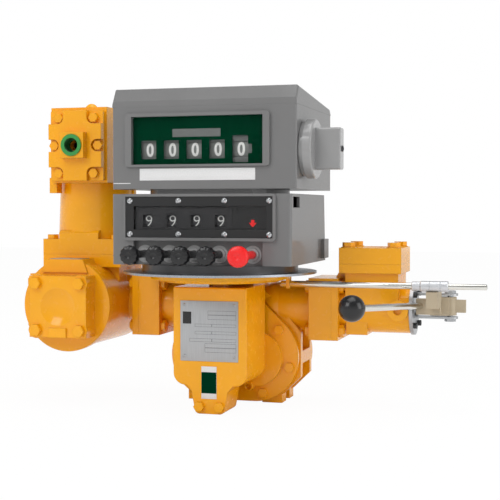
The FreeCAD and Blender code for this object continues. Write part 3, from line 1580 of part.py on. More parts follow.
# dial plate with its slots
body = new_body("register_dial")
dial_back = dial_front + s.dial_thickness
pad(
    body,
    "XZ_Plane",
    rectangle((s.window_left - 5, s.window_right + 5), (s.window_low - 5, s.window_high + 5)),
    dial_front,
    dial_back,
)
for i, x in enumerate(register_wheels):
    last = i == len(register_wheels) - 1
    half = s.last_slot_half_height if last else s.slot_half_height
    pocket(
        body,
        "XZ_Plane",
        rectangle((x - s.slot_half_width, x + s.slot_half_width), (register_axis[1] - half, register_axis[1] + half)),
        dial_front,
        dial_back,
    )
last_edge = register_wheels[-1] + s.slot_half_width
pocket(
    body,
    "XZ_Plane",
    rectangle(
        (last_edge - 1, last_edge + s.slot_half_width / 2),
        (register_axis[1] - s.slot_half_height / 2, register_axis[1] + s.slot_half_height / 2),
    ),
    dial_front,
    dial_back,
)
node("register_dial", body)

# reset knob
knob_seat = s.register_half + 0.3
knob_disc = knob_seat + s.knob_back_thickness
knob_face = knob_disc + s.knob_disc
grip_half = s.knob_grip_thick / 2
body = new_body("reset_knob")
pad(body, "YZ_Plane", circle(0, 0, s.knob_back_radius), knob_seat, knob_disc)
pad(body, "YZ_Plane", circle(0, 0, s.knob_radius), knob_disc, knob_face)
pad(
    body,
    "YZ_Plane",
    corner_box((-grip_half, grip_half), (-s.knob_grip_half, s.knob_grip_half), as_size(4)),
    knob_face,
    knob_face + s.knob_grip_length,
)
pad(body, "YZ_Plane", circle(0, 0, s.knob_stub), register_inside + 1, knob_seat)


def knob_rim(edge):
    radius = getattr(edge.Curve, "Radius", 0)
    return near(radius, s.knob_radius) and near(edge.CenterOfMass.x, knob_face)


def grip_end(edge):
    return near(edge.CenterOfMass.x, knob_face + s.knob_grip_length)


round_edges(body, as_size(2.5), knob_rim)
round_edges(body, as_size(2), grip_end)
node("reset_knob", move_to(body, 0, register_axis[0], register_axis[1]))

# ---- strainer --------------------------------------------------------------------------------------

bolt_hole = s.flange_bolt_radius + s.bolt_play
cap_spots = square_spots(s.strainer_x, s.strainer_z, s.cap_bolt_half)
strainer_axis = (s.strainer_x, s.strainer_z)
elim_spot = (s.eliminator_x, s.eliminator_y)
flange_spots = [(y, z) for y, z in square_spots(as_size(0), s.port_height, s.port_bolt_half)]
mating_face = s.port_flange_outer + s.mating_flange
base_y = (s.base_front, s.base_front + 2 * s.base_half)
base_middle = s.base_front + s.base_half
base_spots = square_spots(s.eliminator_x, base_middle, s.base_bolt_half)
inlet_inner = s.inlet_joint + s.mating_flange


def square_flange(low, high):
    half = s.port_flange_half
    return box((low, high), (-half, half), (s.port_height - half, s.port_height + half))


def lobed_square(low, high):
    """The strainer cap's outline: a square with a round lobe at each bolt."""
    across = (s.strainer_x - s.cap_half, s.strainer_x + s.cap_half)
    up = (s.strainer_z - s.cap_half, s.strainer_z + s.cap_half)
    return [box(across, (low, high), up)] + [rod("y", s.cap_corner, (low, high), spot) for spot in cap_spots]


tag_outline = polygon(
    [
        (s.eliminator_x - s.tag_base_half - 5, s.tag_base),
        (s.eliminator_x + s.tag_base_half - 5, s.tag_base),
        (s.eliminator_x + s.tag_top_half - 5, s.tag_top),
        (s.eliminator_x - s.tag_top_half - 5, s.tag_top),
    ]
)
casting = lobed_square(s.cap_seat, s.strainer_rim_front)
casting += [
    rod("y", s.strainer_rim, (s.strainer_rim_front, s.strainer_rim_back), strainer_axis),
    rod("y", s.strainer_radius, (s.strainer_rim_back, s.strainer_back), strainer_axis),
    slab("TagBoss", "XZ_Plane", tag_outline, s.strainer_rim_front - s.tag_proud, s.tag_back),
    box(
        (s.strainer_x, s.shoulder_right),
        (s.eliminator_y - s.shoulder_half, s.eliminator_y + s.shoulder_half),
        (s.strainer_z, s.base_under),
    ),
    box(
        (s.eliminator_x - s.base_half, s.eliminator_x + s.base_half),
        base_y,
        (s.base_under, s.base_joint),
    ),
    rod("z", s.column_radius - 8, (s.strainer_z, s.base_joint), elim_spot),
    rod("x", s.neck_outside, (s.strainer_x, -s.port_flange_outer), (0, s.port_height)),
    rod("x", s.neck_outside + 8, (s.inlet_joint, s.strainer_x), (0, s.port_height)),
    square_flange(-mating_face, -s.port_flange_outer),
    square_flange(s.inlet_joint, inlet_inner),
]
hollow = [
    rod("y", s.strainer_chamber, (s.strainer_rim_back, s.strainer_back - 9), strainer_axis),
    rod("y", s.basket_bore, (s.cap_seat, s.strainer_rim_back + 1), strainer_axis),
    rod("x", s.port_bore, (s.inlet_joint, -s.port_flange_outer), (0, s.port_height)),
    rod("z", s.port_bore + 8, (s.strainer_z, s.base_joint), elim_spot),
]
for spot in cap_spots:
    hollow.append(rod("y", bolt_hole, (s.cap_seat, s.cap_seat + 22), spot))
for spot in base_spots:
    hollow.append(rod("z", bolt_hole, (s.base_under, s.base_joint), spot))
for spot in flange_spots:
    hollow.append(rod("x", bolt_hole, (-mating_face, -s.port_flange_outer), spot))
    hollow.append(rod("x", bolt_hole, (s.inlet_joint, inlet_inner - 1), spot))
node("strainer_body", cut(join(casting), hollow))

cap = lobed_square(s.cap_front, s.cap_seat)
low_side = s.strainer_z - s.cap_half
cap.append(
    box(
        (s.strainer_x - s.cap_tab_half, s.strainer_x + s.cap_tab_half),
        (s.cap_front - 3, s.cap_front),
        (low_side, low_side + 14),
    )
)
dish_radius = (s.cap_dish * s.cap_dish + s.cap_dish_depth * s.cap_dish_depth) / (2 * s.cap_dish_depth)
dish = ball(dish_radius, s.strainer_x, s.cap_front + s.cap_dish_depth - dish_radius, s.strainer_z)
holes = [rod("y", bolt_hole, (s.cap_front, s.cap_seat), spot) for spot in cap_spots]
node("strainer_cap", cut(join(cap), [dish] + holes))

basket_end = s.strainer_back - 10
basket = join(
    [
        rod("y", s.basket_radius, (s.cap_seat + 0.5, basket_end), strainer_axis),
        rod("y", s.basket_bore - s.seat_play, (s.cap_seat + 0.5, s.cap_seat + 5), strainer_axis),
    ]
)
inside = rod("y", s.basket_radius - s.basket_wall, (s.cap_seat + 0.5, basket_end - s.basket_wall), strainer_axis)
node("strainer_basket", cut(basket, [inside]))

plate = square_flange(s.inlet_face, s.inlet_joint)
holes = [rod("x", bolt_hole, (s.inlet_face, s.inlet_joint), spot) for spot in flange_spots]
holes.append(rod("x", s.inlet_bore, (s.inlet_face, s.inlet_joint), (0, s.port_height)))
node("inlet_flange", cut(plate, holes))

# ---- air eliminator --------------------------------------------------------------------------------

column_low = s.base_joint + s.column_flange
head_x = (s.eliminator_x - s.head_half, s.eliminator_x + s.head_half)
cover_bolt_spots = [
    (s.eliminator_x + a * s.head_bolt_x, s.vent_z + b * s.head_bolt_rise) for a in (-1, 1) for b in (-1, 1)
]
cover_side_spots = [(s.eliminator_x + a * s.head_bolt_side, s.vent_z) for a in (-1, 1)]
screw_hole = s.cover_bolt_radius + s.bolt_play
pad_outline = polygon(
    [
        (s.base_front, column_low),
        (s.eliminator_y, column_low),
        (s.eliminator_y, column_low + 16),
        (s.base_front + 6, column_low + 13),
        (s.base_front, column_low + 9),
    ]
)
casting = [
    box((s.eliminator_x - s.base_half, s.eliminator_x + s.base_half), base_y, (s.base_joint, column_low)),
    cone("z", (s.column_radius - 4, s.column_radius - 7), (column_low, s.head_low), elim_spot),
    slab("FrontPad", "YZ_Plane", pad_outline, s.eliminator_x - 37, s.eliminator_x + 27),
    box(head_x, (s.head_front, s.head_back), (s.head_low, s.head_high)),
    rod("z", s.plug_radius, (s.head_high, s.head_high + s.plug_step), (s.plug_x, s.eliminator_y)),
    ball(s.plug_radius, s.plug_x, s.eliminator_y, s.head_high + s.plug_step),
    box((head_x[0] - 7, head_x[0] + 5), (s.head_front + 7, s.head_front + 25), (s.head_low - 15, s.head_low + 8)),
]
for side in (-1, 1):
    outer = s.eliminator_x + side * s.base_half
    inner = s.eliminator_x + side * (s.column_radius - 12)
    gusset = polygon(
        [
            (outer, column_low),
            (inner, column_low),
            (inner, s.head_low),
            (s.eliminator_x + side * (s.base_half - 3), s.head_low),
            (s.eliminator_x + side * (s.base_half - 2), column_low + 18),
        ][::side]
    )
    casting.append(slab("SideFin", "XZ_Plane", gusset, s.eliminator_y, s.eliminator_y + s.fin_thickness))
hollow = [
    rod("z", s.column_bore, (s.base_joint, s.head_low - s.head_floor), elim_spot),
    rod("z", s.head_neck, (s.base_joint, s.head_low + s.head_wall + 1), elim_spot),
    box(
        (head_x[0] + s.head_wall, head_x[1] - s.head_wall),
        (s.head_front + s.head_front_wall, s.head_back - s.head_wall),
        (s.head_low + s.head_wall, s.head_high - s.head_wall),
    ),
    slab(
        "Mouth",
        "XZ_Plane",
        corner_box(
            (s.eliminator_x - s.head_mouth_half, s.eliminator_x + s.head_mouth_half),
            (s.head_mouth_low, s.head_mouth_high),
            as_size(8),
        ),
        s.head_front,
        s.head_front / 2,
    ),
]
for spot in cover_bolt_spots + cover_side_spots:
    hollow.append(rod("y", screw_hole, (s.head_front, s.head_front + 16), spot))
for spot in base_spots:
    hollow.append(rod("z", bolt_hole, (s.base_joint, column_low), spot))
node("eliminator_body", cut(join(casting), hollow))

# cover of the air eliminator, with the float's bracket on its back
cover_seat = s.head_front - s.lid_plate_step
body = new_body("eliminator_cover")
pad(
    body,
    "XZ_Plane",
    corner_box(
        (s.eliminator_x - s.lid_plate_half, s.eliminator_x + s.lid_plate_half),
        (s.lid_plate_low, s.lid_plate_high),
        as_size(3),
    ),
    s.lid_plate_front,
    s.head_front,
)
for x, z in cover_bolt_spots:
    out_x = 3 * s.scallop_radius * (1 if float(x) > float(s.eliminator_x) else -1)
    out_z = 3 * s.scallop_radius * (1 if float(z) > float(s.vent_z) else -1)
    corners = sorted([(x, z), (x + out_x, z + out_z)], key=lambda spot: float(spot[0]))
    low_z, high_z = sorted([z, z + out_z], key=float)
    pocket(
        body,
        "XZ_Plane",
        rounded(
            [
                (corners[0][0], low_z, s.scallop_radius),
                (corners[1][0], low_z, s.scallop_radius),
                (corners[1][0], high_z, s.scallop_radius),
                (corners[0][0], high_z, s.scallop_radius),
            ]
        ),
        s.lid_plate_front,
        cover_seat,
    )
for x, z in cover_side_spots:
    out = x + 3 * s.scallop_radius * (1 if float(x) > float(s.eliminator_x) else -1)
    left, right = sorted([x, out], key=float)
    pocket(
        body,
        "XZ_Plane",
        rounded([(left, z, s.scallop_radius), (right, z, s.scallop_radius)]),
        s.lid_plate_front,
        cover_seat,
    )
boss_x = (s.eliminator_x - s.vent_boss_half, s.eliminator_x + s.vent_boss_half)
boss_z = (s.vent_z - s.vent_boss_half, s.vent_z + s.vent_boss_half)
pad(body, "XZ_Plane", rectangle(boss_x, boss_z), s.vent_boss_front, s.lid_plate_front)
vent_inner = s.lid_plate_front + 3
pocket(
    body,
    "XZ_Plane",
    circle(s.eliminator_x, s.vent_z, s.vent_radius + s.seat_play),
    s.vent_boss_front,
    vent_inner,
)
pocket(body, "XZ_Plane", circle(s.eliminator_x, s.vent_z, s.vent_bore - 3), vent_inner, s.head_front)
for x, z in cover_bolt_spots + cover_side_spots:
    pocket(body, "XZ_Plane", circle(x, z, screw_hole), cover_seat, s.head_front)
lever_half = s.float_lever
for side in (-1, 1):
    near_side, far_side = sorted((side * (lever_half + 0.5), side * (lever_half + 4)), key=float)
    pad(
        body,
        "YZ_Plane",
        rectangle((s.head_front, s.float_hinge_y + 6), (s.float_hinge_z - 6, s.float_hinge_z + 6)),
        s.eliminator_x + near_side,
        s.eliminator_x + far_side,
    )
pin_reach = lever_half + 6
pad(
    body,
    "YZ_Plane",
    circle(s.float_hinge_y, s.float_hinge_z, s.float_lever),
    s.eliminator_x - pin_reach,
    s.eliminator_x + pin_reach,
)
node("eliminator_cover", body)

bushing = rod("y", s.vent_radius, (s.vent_boss_front - 2, vent_inner), (s.eliminator_x, s.vent_z))
hole = rod("y", s.vent_bore, (s.vent_boss_front - 2, vent_inner), (s.eliminator_x, s.vent_z))
node("vent_bushing", cut(bushing, [hole]))

arm = slab(
    "FloatArm",
    "YZ_Plane",
    rounded(
        [
            (s.float_hinge_y, s.float_hinge_z, s.float_lever + 2.5),
            (s.float_y, s.float_z, s.float_lever),
        ]
    ),
    s.eliminator_x - lever_half,
    s.eliminator_x + lever_half,
)
pin_hole = rod(
    "x",
    s.float_lever + s.shaft_play,
    (s.eliminator_x - lever_half, s.eliminator_x + lever_half),
    (s.float_hinge_y, s.float_hinge_z),
)
bulb = ball(s.float_radius, s.eliminator_x, s.float_y, s.float_z)
node("eliminator_float", join([cut(arm, [pin_hole]), bulb]))

# ---- preset valve ----------------------------------------------------------------------------------

valve_axis = (as_size(0), s.port_height)
outlet_x = (s.outlet_x - s.outlet_half_x, s.outlet_x + s.outlet_half_x)
outlet_y = (-s.outlet_half_y, s.outlet_half_y)
outlet_spots = [
    (s.outlet_x + a * s.outlet_bolt_x, b * s.outlet_bolt_y) for a in (-1, 1) for b in (-1, 1)
]
gusset_outline = polygon(
    [
        (s.port_flange_outer, s.port_height),
        (s.outlet_x, s.port_height),
        (s.outlet_x, s.outlet_under),
        (outlet_x[0], s.outlet_joint - 2),
        (s.port_flange_outer, s.port_height + s.port_flange_half),
    ]
)
casting = [
    square_flange(s.port_flange_outer, mating_face),
    rod("x", s.valve_radius, (s.port_flange_outer, s.valve_end), valve_axis),
    box((mating_face + 9, s.valve_block_end), (-30, 30), (s.valve_block_low, s.port_height)),
    box(
        (outlet_x[0] + 8, outlet_x[1] - 5),
        (6 - s.outlet_half_y, s.outlet_half_y - 6),
        (s.port_height, s.outlet_under),
    ),
    box(outlet_x, outlet_y, (s.outlet_under, s.outlet_joint)),
    slab("Gusset", "XZ_Plane", gusset_outline, -9, 9),
    rod("y", s.valve_boss_radius, (s.valve_boss_front, 0), (s.valve_boss_x, s.port_height)),
]
hollow = [
    rod("x", s.port_bore, (s.port_flange_outer, s.valve_seat), valve_axis),
    rod("x", s.valve_bore, (s.valve_seat, s.valve_end), valve_axis),
    rod("z", s.port_bore, (s.port_height, s.outlet_joint), (s.outlet_x, 0)),
    rod("y", s.valve_boss_bore, (s.valve_boss_front, s.valve_boss_front + 7), (s.valve_boss_x, s.port_height)),
]
hollow += [rod("x", bolt_hole, (s.port_flange_outer, mating_face), spot) for spot in flange_spots]
for x, y in outlet_spots:
    hollow.append(rod("z", bolt_hole, (s.outlet_under, s.outlet_joint), (x, y)))
node("valve_body", cut(join(casting), hollow))

plate = [box(outlet_x, outlet_y, (s.outlet_joint, s.outlet_face))]
plate += [rod("z", 11, (s.outlet_joint, s.outlet_face + s.outlet_boss), spot) for spot in outlet_spots]
holes = [rod("z", s.inlet_bore, (s.outlet_joint, s.outlet_face), (s.outlet_x, 0))]
holes += [rod("z", bolt_hole, (s.outlet_joint, s.outlet_face + s.outlet_boss), spot) for spot in outlet_spots]
node("outlet_flange", cut(join(plate), holes))

plate_end = s.valve_end + s.end_plate_thickness
strap_low = s.lever_z - s.strap_rise
strap_high = s.lever_z + s.strap_rise
half_strap = s.strap_thickness / 2
plate = [
    rod("x", s.end_plate_radius, (s.valve_end, plate_end), valve_axis),
    rod("x", s.stem_radius + 4, (s.valve_end, plate_end + 3), valve_axis),
    rod("z", s.pivot_radius, (strap_low - half_strap, strap_high + half_strap), (s.pivot_x, 0)),
]
for z, head_low, head_high in (
    (strap_low, -half_strap - s.pivot_head_height, -half_strap),
    (strap_high, half_strap, half_strap + s.pivot_head_height),
):
    plate.append(
        box((s.valve_end + 1, s.strap_end - s.strap_half), (-s.strap_half, s.strap_half), (z - half_strap, z + half_strap))
    )
    plate.append(rod("z", s.strap_half, (z - half_strap, z + half_strap), (s.strap_end - s.strap_half, 0)))
    plate.append(hexagon("z", 2 * s.pivot_head, (z + head_low, z + head_high), (s.pivot_x, 0)))
hole = rod("x", s.stem_radius + s.shaft_play, (s.valve_end, plate_end + 3), valve_axis)
node("valve_end_plate", cut(join(plate), [hole]))

piston_face = s.valve_seat + s.piston_open
piston_back = piston_face + s.piston_thickness
piston = [
    rod("x", s.piston_radius, (piston_face, piston_back), valve_axis),
    rod("x", s.stem_radius, (piston_back, s.stem_end), valve_axis),
    rod("x", s.stem_radius + 3, (piston_back, piston_back + 6), valve_axis),
]
node("valve_piston", join(piston))

# spring of square wire between the piston and the end plate
spring_length = s.valve_end - piston_back - 2 * s.spring_wire
body = new_body("valve_spring")
profile = plane_sketch(body, "XY_Plane", 0)
rectangle((-s.spring_wire, s.spring_wire), (s.spring_radius - s.spring_wire, s.spring_radius + s.spring_wire))(profile)
doc.recompute()
helix = body.newObject("PartDesign::AdditiveHelix", "Coil")
helix.Profile = profile
helix.ReferenceAxis = (profile, ["H_Axis"])
helix.Mode = 1
bind(helix, Pitch=spring_length / s.spring_turns, Turns=s.spring_turns)
node("valve_spring", move_to(body, piston_back + s.spring_wire, 0, s.port_height))

# lever casting, its handle rod and ball knob
lever_low = s.lever_z - s.lever_half_height
lever_high = s.lever_z + s.lever_half_height
handle_root = (s.handle_root_x, s.handle_root_y, s.handle_root_z)
knob_spot = (s.knob_ball_x, s.knob_ball_y, s.knob_ball_z)
flat_share = s.ball_flat / bar_length(knob_spot, handle_root)
knob_flat = tuple(a + (b - a) * flat_share for a, b in zip(knob_spot, handle_root))
horn_top = s.trip_z - s.trip_sleeve_radius - s.horn_play
casting = [
    rod("z", s.lever_barrel, (lever_low, lever_high), (s.pivot_x, 0)),
    box((s.lever_block_left, s.pivot_x), (s.lever_wing_back - 2, s.lever_block_back), (lever_low, lever_high)),
    box((s.lever_left, s.horn_right), (s.lever_front, s.lever_wing_back), (lever_low + 2, lever_high - 2)),
    box(
        (s.pivot_x, s.lever_tab_end),
        (-s.lever_barrel / 2, s.lever_barrel / 2),
        (s.lever_z - s.lever_tab_half, s.lever_z + s.lever_tab_half),
    ),
    box((s.horn_left, s.horn_right), (s.horn_front, s.lever_wing_back), (s.lever_z, horn_top)),
]
hollow = [
    rod("z", s.pivot_radius + s.shaft_play, (lever_low, lever_high), (s.pivot_x, 0)),
    link(s.handle_radius + s.seat_play, handle_root, knob_flat),
]
node("lever_arm", cut(join(casting), hollow))
node("handle_rod", link(s.handle_radius, handle_root, knob_flat))
node("ball_knob", cut(ball(s.ball_radius, *knob_spot), [link(s.ball_radius, knob_flat, handle_root)]))

# trip rod with its collar and sleeve
trip_spot = (s.trip_y, s.trip_z)
trip = [
    rod("x", s.trip_radius, (s.trip_left, s.trip_collar_left), trip_spot),
    ball(s.trip_radius, s.trip_left, s.trip_y, s.trip_z),
    rod("y", s.trip_radius, (s.trip_y, s.trip_y + s.trip_tail), (s.trip_left, s.trip_z)),
    rod("x", s.trip_collar_radius, (s.trip_collar_left, s.trip_sleeve_left), trip_spot),
    rod("x", s.trip_sleeve_radius, (s.trip_sleeve_left, s.trip_step), trip_spot),
    rod("x", s.trip_thin_radius, (s.trip_step, s.trip_right), trip_spot),
]
node("trip_rod", join(trip))

# ---- larger bolts ----------------------------------------------------------------------------------

head_height = s.flange_head_height


def bolt(axis, spot, seat, end, nut=None):
    """A hexagon bolt from the seat of its head to its end, with an optional nut that starts at a level."""
    away = 1 if float(as_size(seat)) > float(as_size(end)) else -1
    span = sorted((as_size(seat), seat + away * head_height), key=float)
    pieces = [
        hexagon(axis, s.flange_head_flats, span, spot),
        rod(axis, s.flange_bolt_radius, sorted((as_size(seat), as_size(end)), key=float), spot),
    ]
    if nut is not None:
        span = sorted((as_size(nut), nut - away * head_height), key=float)
        pieces.append(hexagon(axis, s.flange_head_flats, span, spot))
    return join(pieces)


bolts = []
for spot in flange_spots:
    for side in (-1, 1):
        bolts.append(
            bolt("x", spot, side * s.port_flange_inner, side * (mating_face + 8), side * mating_face)
        )
    bolts.append(bolt("x", spot, s.inlet_face, inlet_inner - 2))
bolts += [bolt("y", spot, s.cap_front, s.cap_seat + 20) for spot in cap_spots]
bolts += [bolt("z", spot, column_low, s.base_under + 1) for spot in base_spots]
bolts += [bolt("z", spot, s.outlet_face + s.outlet_boss, s.outlet_under + 1) for spot in outlet_spots]
node("flange_bolts", group(bolts))
screws = []
for x, z in cover_bolt_spots + cover_side_spots:
    screws.append(
        join(
            [
                hexagon("y", s.cover_head_flats, (cover_seat - s.cover_head_height, cover_seat), (x, z)),
                rod("y", s.cover_bolt_radius, (cover_seat, s.head_front + 14), (x, z)),
            ]
        )
    )
node("eliminator_screws", group(screws))


# ---- check and write -------------------------------------------------------------------------------

doc.recompute()
for obj in doc.Objects:
    if "Invalid" in obj.State or "Error" in obj.State:
        raise RuntimeError(f"{obj.Label} did not build")
os.makedirs("parts", exist_ok=True)
for name, obj in NODES.items():
    if obj.Shape.isNull() or not obj.Shape.isValid():
        raise RuntimeError(f"{name} has no valid shape")
    obj.Shape.exportStep(f"parts/{name}.step")
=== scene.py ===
import math

import bmesh
import bpy
from mathutils import Matrix, Vector


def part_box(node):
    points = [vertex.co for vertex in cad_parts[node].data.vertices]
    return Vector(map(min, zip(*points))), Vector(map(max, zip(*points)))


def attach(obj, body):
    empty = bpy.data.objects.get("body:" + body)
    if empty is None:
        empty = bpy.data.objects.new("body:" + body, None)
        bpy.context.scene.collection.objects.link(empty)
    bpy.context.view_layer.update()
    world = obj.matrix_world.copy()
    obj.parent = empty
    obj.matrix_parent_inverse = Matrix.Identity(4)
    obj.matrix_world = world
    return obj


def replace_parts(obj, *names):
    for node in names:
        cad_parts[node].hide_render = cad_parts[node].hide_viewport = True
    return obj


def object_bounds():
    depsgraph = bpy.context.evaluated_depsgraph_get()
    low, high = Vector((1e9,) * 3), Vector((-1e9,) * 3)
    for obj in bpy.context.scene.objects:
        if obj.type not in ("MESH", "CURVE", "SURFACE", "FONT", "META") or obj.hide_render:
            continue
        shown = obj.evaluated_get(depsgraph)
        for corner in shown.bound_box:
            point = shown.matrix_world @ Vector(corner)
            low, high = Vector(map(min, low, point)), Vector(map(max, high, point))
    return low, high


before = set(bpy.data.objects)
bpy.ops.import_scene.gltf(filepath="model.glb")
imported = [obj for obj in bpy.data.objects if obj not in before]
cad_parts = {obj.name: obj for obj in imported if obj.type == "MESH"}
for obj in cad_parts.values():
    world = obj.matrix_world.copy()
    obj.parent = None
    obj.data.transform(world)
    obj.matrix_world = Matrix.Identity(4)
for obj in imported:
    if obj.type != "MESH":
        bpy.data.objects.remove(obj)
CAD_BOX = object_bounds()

bl_info = {
    "name": "Rotary Flow Meter",
    "version": (1, 0, 0),
    "blender": (4, 5, 0),
    "location": "3D View > Sidebar > Flow Meter",
    "description": "Finishes, plates, figures, knobs and screws of a rotary liquid meter",
    "category": "Object",
}

MM = 0.001
REGISTER_WHEELS = range(1, 6)
PRESET_WHEELS = range(1, 5)
X, Y, Z = (Vector(axis) for axis in ((1, 0, 0), (0, 1, 0), (0, 0, 1)))


# ---- places taken from the frame -------------------------------------------------------------------


class Place:
    """The corners of a CAD node, with its middle and its size."""

    def __init__(self, node):
        self.low, self.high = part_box(node)
        self.middle = (self.low + self.high) / 2
        self.size = self.high - self.low


def millimetres(*values):
    """A point given in millimetres, as a vector in metres."""
    return Vector(values) * MM


# ---- sizes of the details --------------------------------------------------------------------------

# corners closer than this are merged, and edges sharper than this stay sharp
SAME_CORNER = 1e-6
SHARP_ANGLE = math.radians(35)

# figures: half the depth of the font's solid before it is scaled, and how far the ink stands out
FIGURE_EXTRUDE = 0.02
FIGURE_RELIEF = 0.2 * MM

# name plate: the ruled fields from the plate's middle, as left, right, low and high sides in millimetres
PLATE_FIELDS = (
    (-2, 38.5, 137.4, 143),
    (-2, 38.5, 131, 137),
    (-20.8, 3.4, 120.6, 124.6),
    (3.8, 38.5, 120.6, 124.6),
    (-20.8, 3.4, 110.4, 114.6),
    (3.8, 38.5, 110.4, 114.6),
    (-28.6, 3.4, 100, 104.5),
    (3.8, 38.5, 100, 104.5),
    (-6.5, 38.5, 92, 97.8),
    (-6.5, 38.5, 85.6, 91.6),
)
RULE_WIDTH = 0.3
INK_DEPTH = 0.05 * MM

# the frames round the windows stand this far in front of the cases
FRAME_PROUD = 4 * MM

# figure masks: how far they reach above and below the figures' middle, and their thickness
MASK_REACH = 21 * MM
MASK_THICKNESS = 0.3 * MM

# pipe threads: radius of the vent's and of the pipes' bores, plain lead-in and depth of the thread
VENT_BORE = 10.6 * MM
PIPE_BORE = 21.5 * MM
LEAD_IN = MM
THREAD_DEPTH = 0.9 * MM

# the valve's end plate: its screws stand on a circle of this radius
END_PLATE_BOLTS = 31 * MM

# turned profiles as (radius, height) points: in metres, or in head radii for the two domes
RIVET = ((0, 1.2 * MM), (MM, 1.1 * MM), (1.9 * MM, 0.6 * MM), (2.2 * MM, 0), (0, 0))
WASHER = (
    (5.6 * MM, 3 * MM),
    (5.6 * MM, 3.3 * MM),
    (8.3 * MM, 3.3 * MM),
    (8.8 * MM, 2.9 * MM),
    (8.8 * MM, 0.7 * MM),
    (12 * MM, 0.7 * MM),
    (12.3 * MM, 0),
)
BEZEL_DOME = ((0, 0.2), (0.27, 0.2), (0.33, 0.52), (0.7, 0.38), (0.93, 0.14), (1, 0), (0, 0))
KNOB_DOME = ((0, 0.2), (0.45, 0.2), (0.5, 0.5), (0.9, 0.4), (1, 0), (0, 0))

# the printed arrow's outline, as (across, up) points in millimetres
ARROW = ((-2.3, 4.9), (2.3, 4.9), (2.3, 1.0), (5.4, 1.0), (0, -4.9), (-5.4, 1.0), (-2.3, 1.0))

# stage: strengths of the room's light and of the floor's glow; lamps with their place, size and watts;
# the camera's lens in millimetres, its place, and its dip and turn in degrees
WHITE = "#FFFFFF"
PAPER = "#EDEDED"
ROOM_LIGHT = 0.71
FLOOR_GLOW = 0.96
LAMPS = (
    ("key", (-1.2, -2.2, 1.9), (1.4, 1.4), 23),
    ("side", (2.2, -0.4, 0.9), (1.2, 1.6), 14),
    ("top", (0.1, -0.2, 2.4), (1.8, 1.8), 22),
)
CAMERA_LENS = 82.8
CAMERA_SPOT = (0.489, -1.650, 0.283)
CAMERA_DIP = 2.04
CAMERA_TURN = 16.06


# ---- user settings ---------------------------------------------------------------------------------


def length(name, description, default):
    """A length that the panel shows in the scene's unit."""
    return bpy.props.FloatProperty(
        name=name, description=description, default=default, unit="LENGTH", subtype="DISTANCE", precision=5
    )


def colour(name, description, default):
    """A colour as an sRGB hex value."""
    return bpy.props.StringProperty(name=name, description=description, default=default)


class MeterColours(bpy.types.PropertyGroup):
    """Paint, plastic and metal colours as sRGB hex values."""

    casting: colour("Casting", "Enamel on the meter, strainer, eliminator and valve", "#F4A905")
    case: colour("Case", "Stoved enamel on both counter cases", "#6E6E6E")
    dial: colour("Dial", "Enamel on the register's dial plate", "#00331F")
    bezel: colour("Bezel", "Black plastic frame of the preset counter", "#151516")
    digits: colour("Digits", "Printed figures", "#F2F3F0")
    stop: colour("Stop", "Stop button and arrow", "#F51616")
    ring: colour("Ring", "Enamel on the vent bushing", "#1F8F38")
    lever: colour("Lever", "Bronze-coloured lever casting", "#B3A58C")


class MeterSizes(bpy.types.PropertyGroup):
    """Sizes of the dressed details."""

    register_digit: length("Register figure", "Height of the register's figures", 0.0190)
    preset_digit: length("Preset figure", "Height of the preset counter's figures", 0.0148)
    plate_thickness: length("Plate", "Thickness of the name plate and badge", 0.0008)
    screw_radius: length("Bezel screw", "Head radius of the bezel's screws", 0.0042)
    socket_screw: length("Socket screw", "Head radius of the valve end plate's screws", 0.0042)
    flute_depth: length("Flute", "Depth of the grip flutes on the push buttons", 0.0009)
    thread_pitch: length("Thread", "Pitch of the pipe threads", 0.0022)


# ---- materials -------------------------------------------------------------------------------------

# widths and depths of the surface textures; the tool marks and the spark texture are drawn several times
# coarser than the real ones, so that they show
CLOUD_SIZE = 50 * MM
TOOL_MARK = 1.2 * MM
TOOL_MARK_DEPTH = 0.04 * MM
SPARK_SIZE = 0.8 * MM
SPARK_DEPTH = 0.05 * MM


def linear(hex_code):
    """An sRGB hex value as linear red, green, blue and alpha."""
    parts = [int(hex_code[i : i + 2], 16) / 255 for i in (1, 3, 5)]
    return tuple(p / 12.92 if p <= 0.04045 else ((p + 0.055) / 1.055) ** 2.4 for p in parts) + (1,)


def add(tree, kind, inputs=None, **settings):
    """Add a shader node with its settings; inputs are values, or (node, output) links."""
    node = tree.nodes.new(kind)
    for name, value in settings.items():
        setattr(node, name, value)
    for name, value in (inputs or {}).items():
        if isinstance(value, tuple) and isinstance(value[0], bpy.types.Node):
            tree.links.new(value[0].outputs[value[1]], node.inputs[name])
        else:
            node.inputs[name].default_value = value
    return node


def shade(hex_code, amount):
    """A hex colour made darker (below 1) or lighter (above 1)."""
    parts = [min(255, round(int(hex_code[i : i + 2], 16) * amount)) for i in (1, 3, 5)]
    return "#%02X%02X%02X" % tuple(parts)


def new_material(name):
    """A material with no nodes yet."""
    material = bpy.data.materials.new(name)
    material.use_nodes = True
    material.node_tree.nodes.clear()
    return material


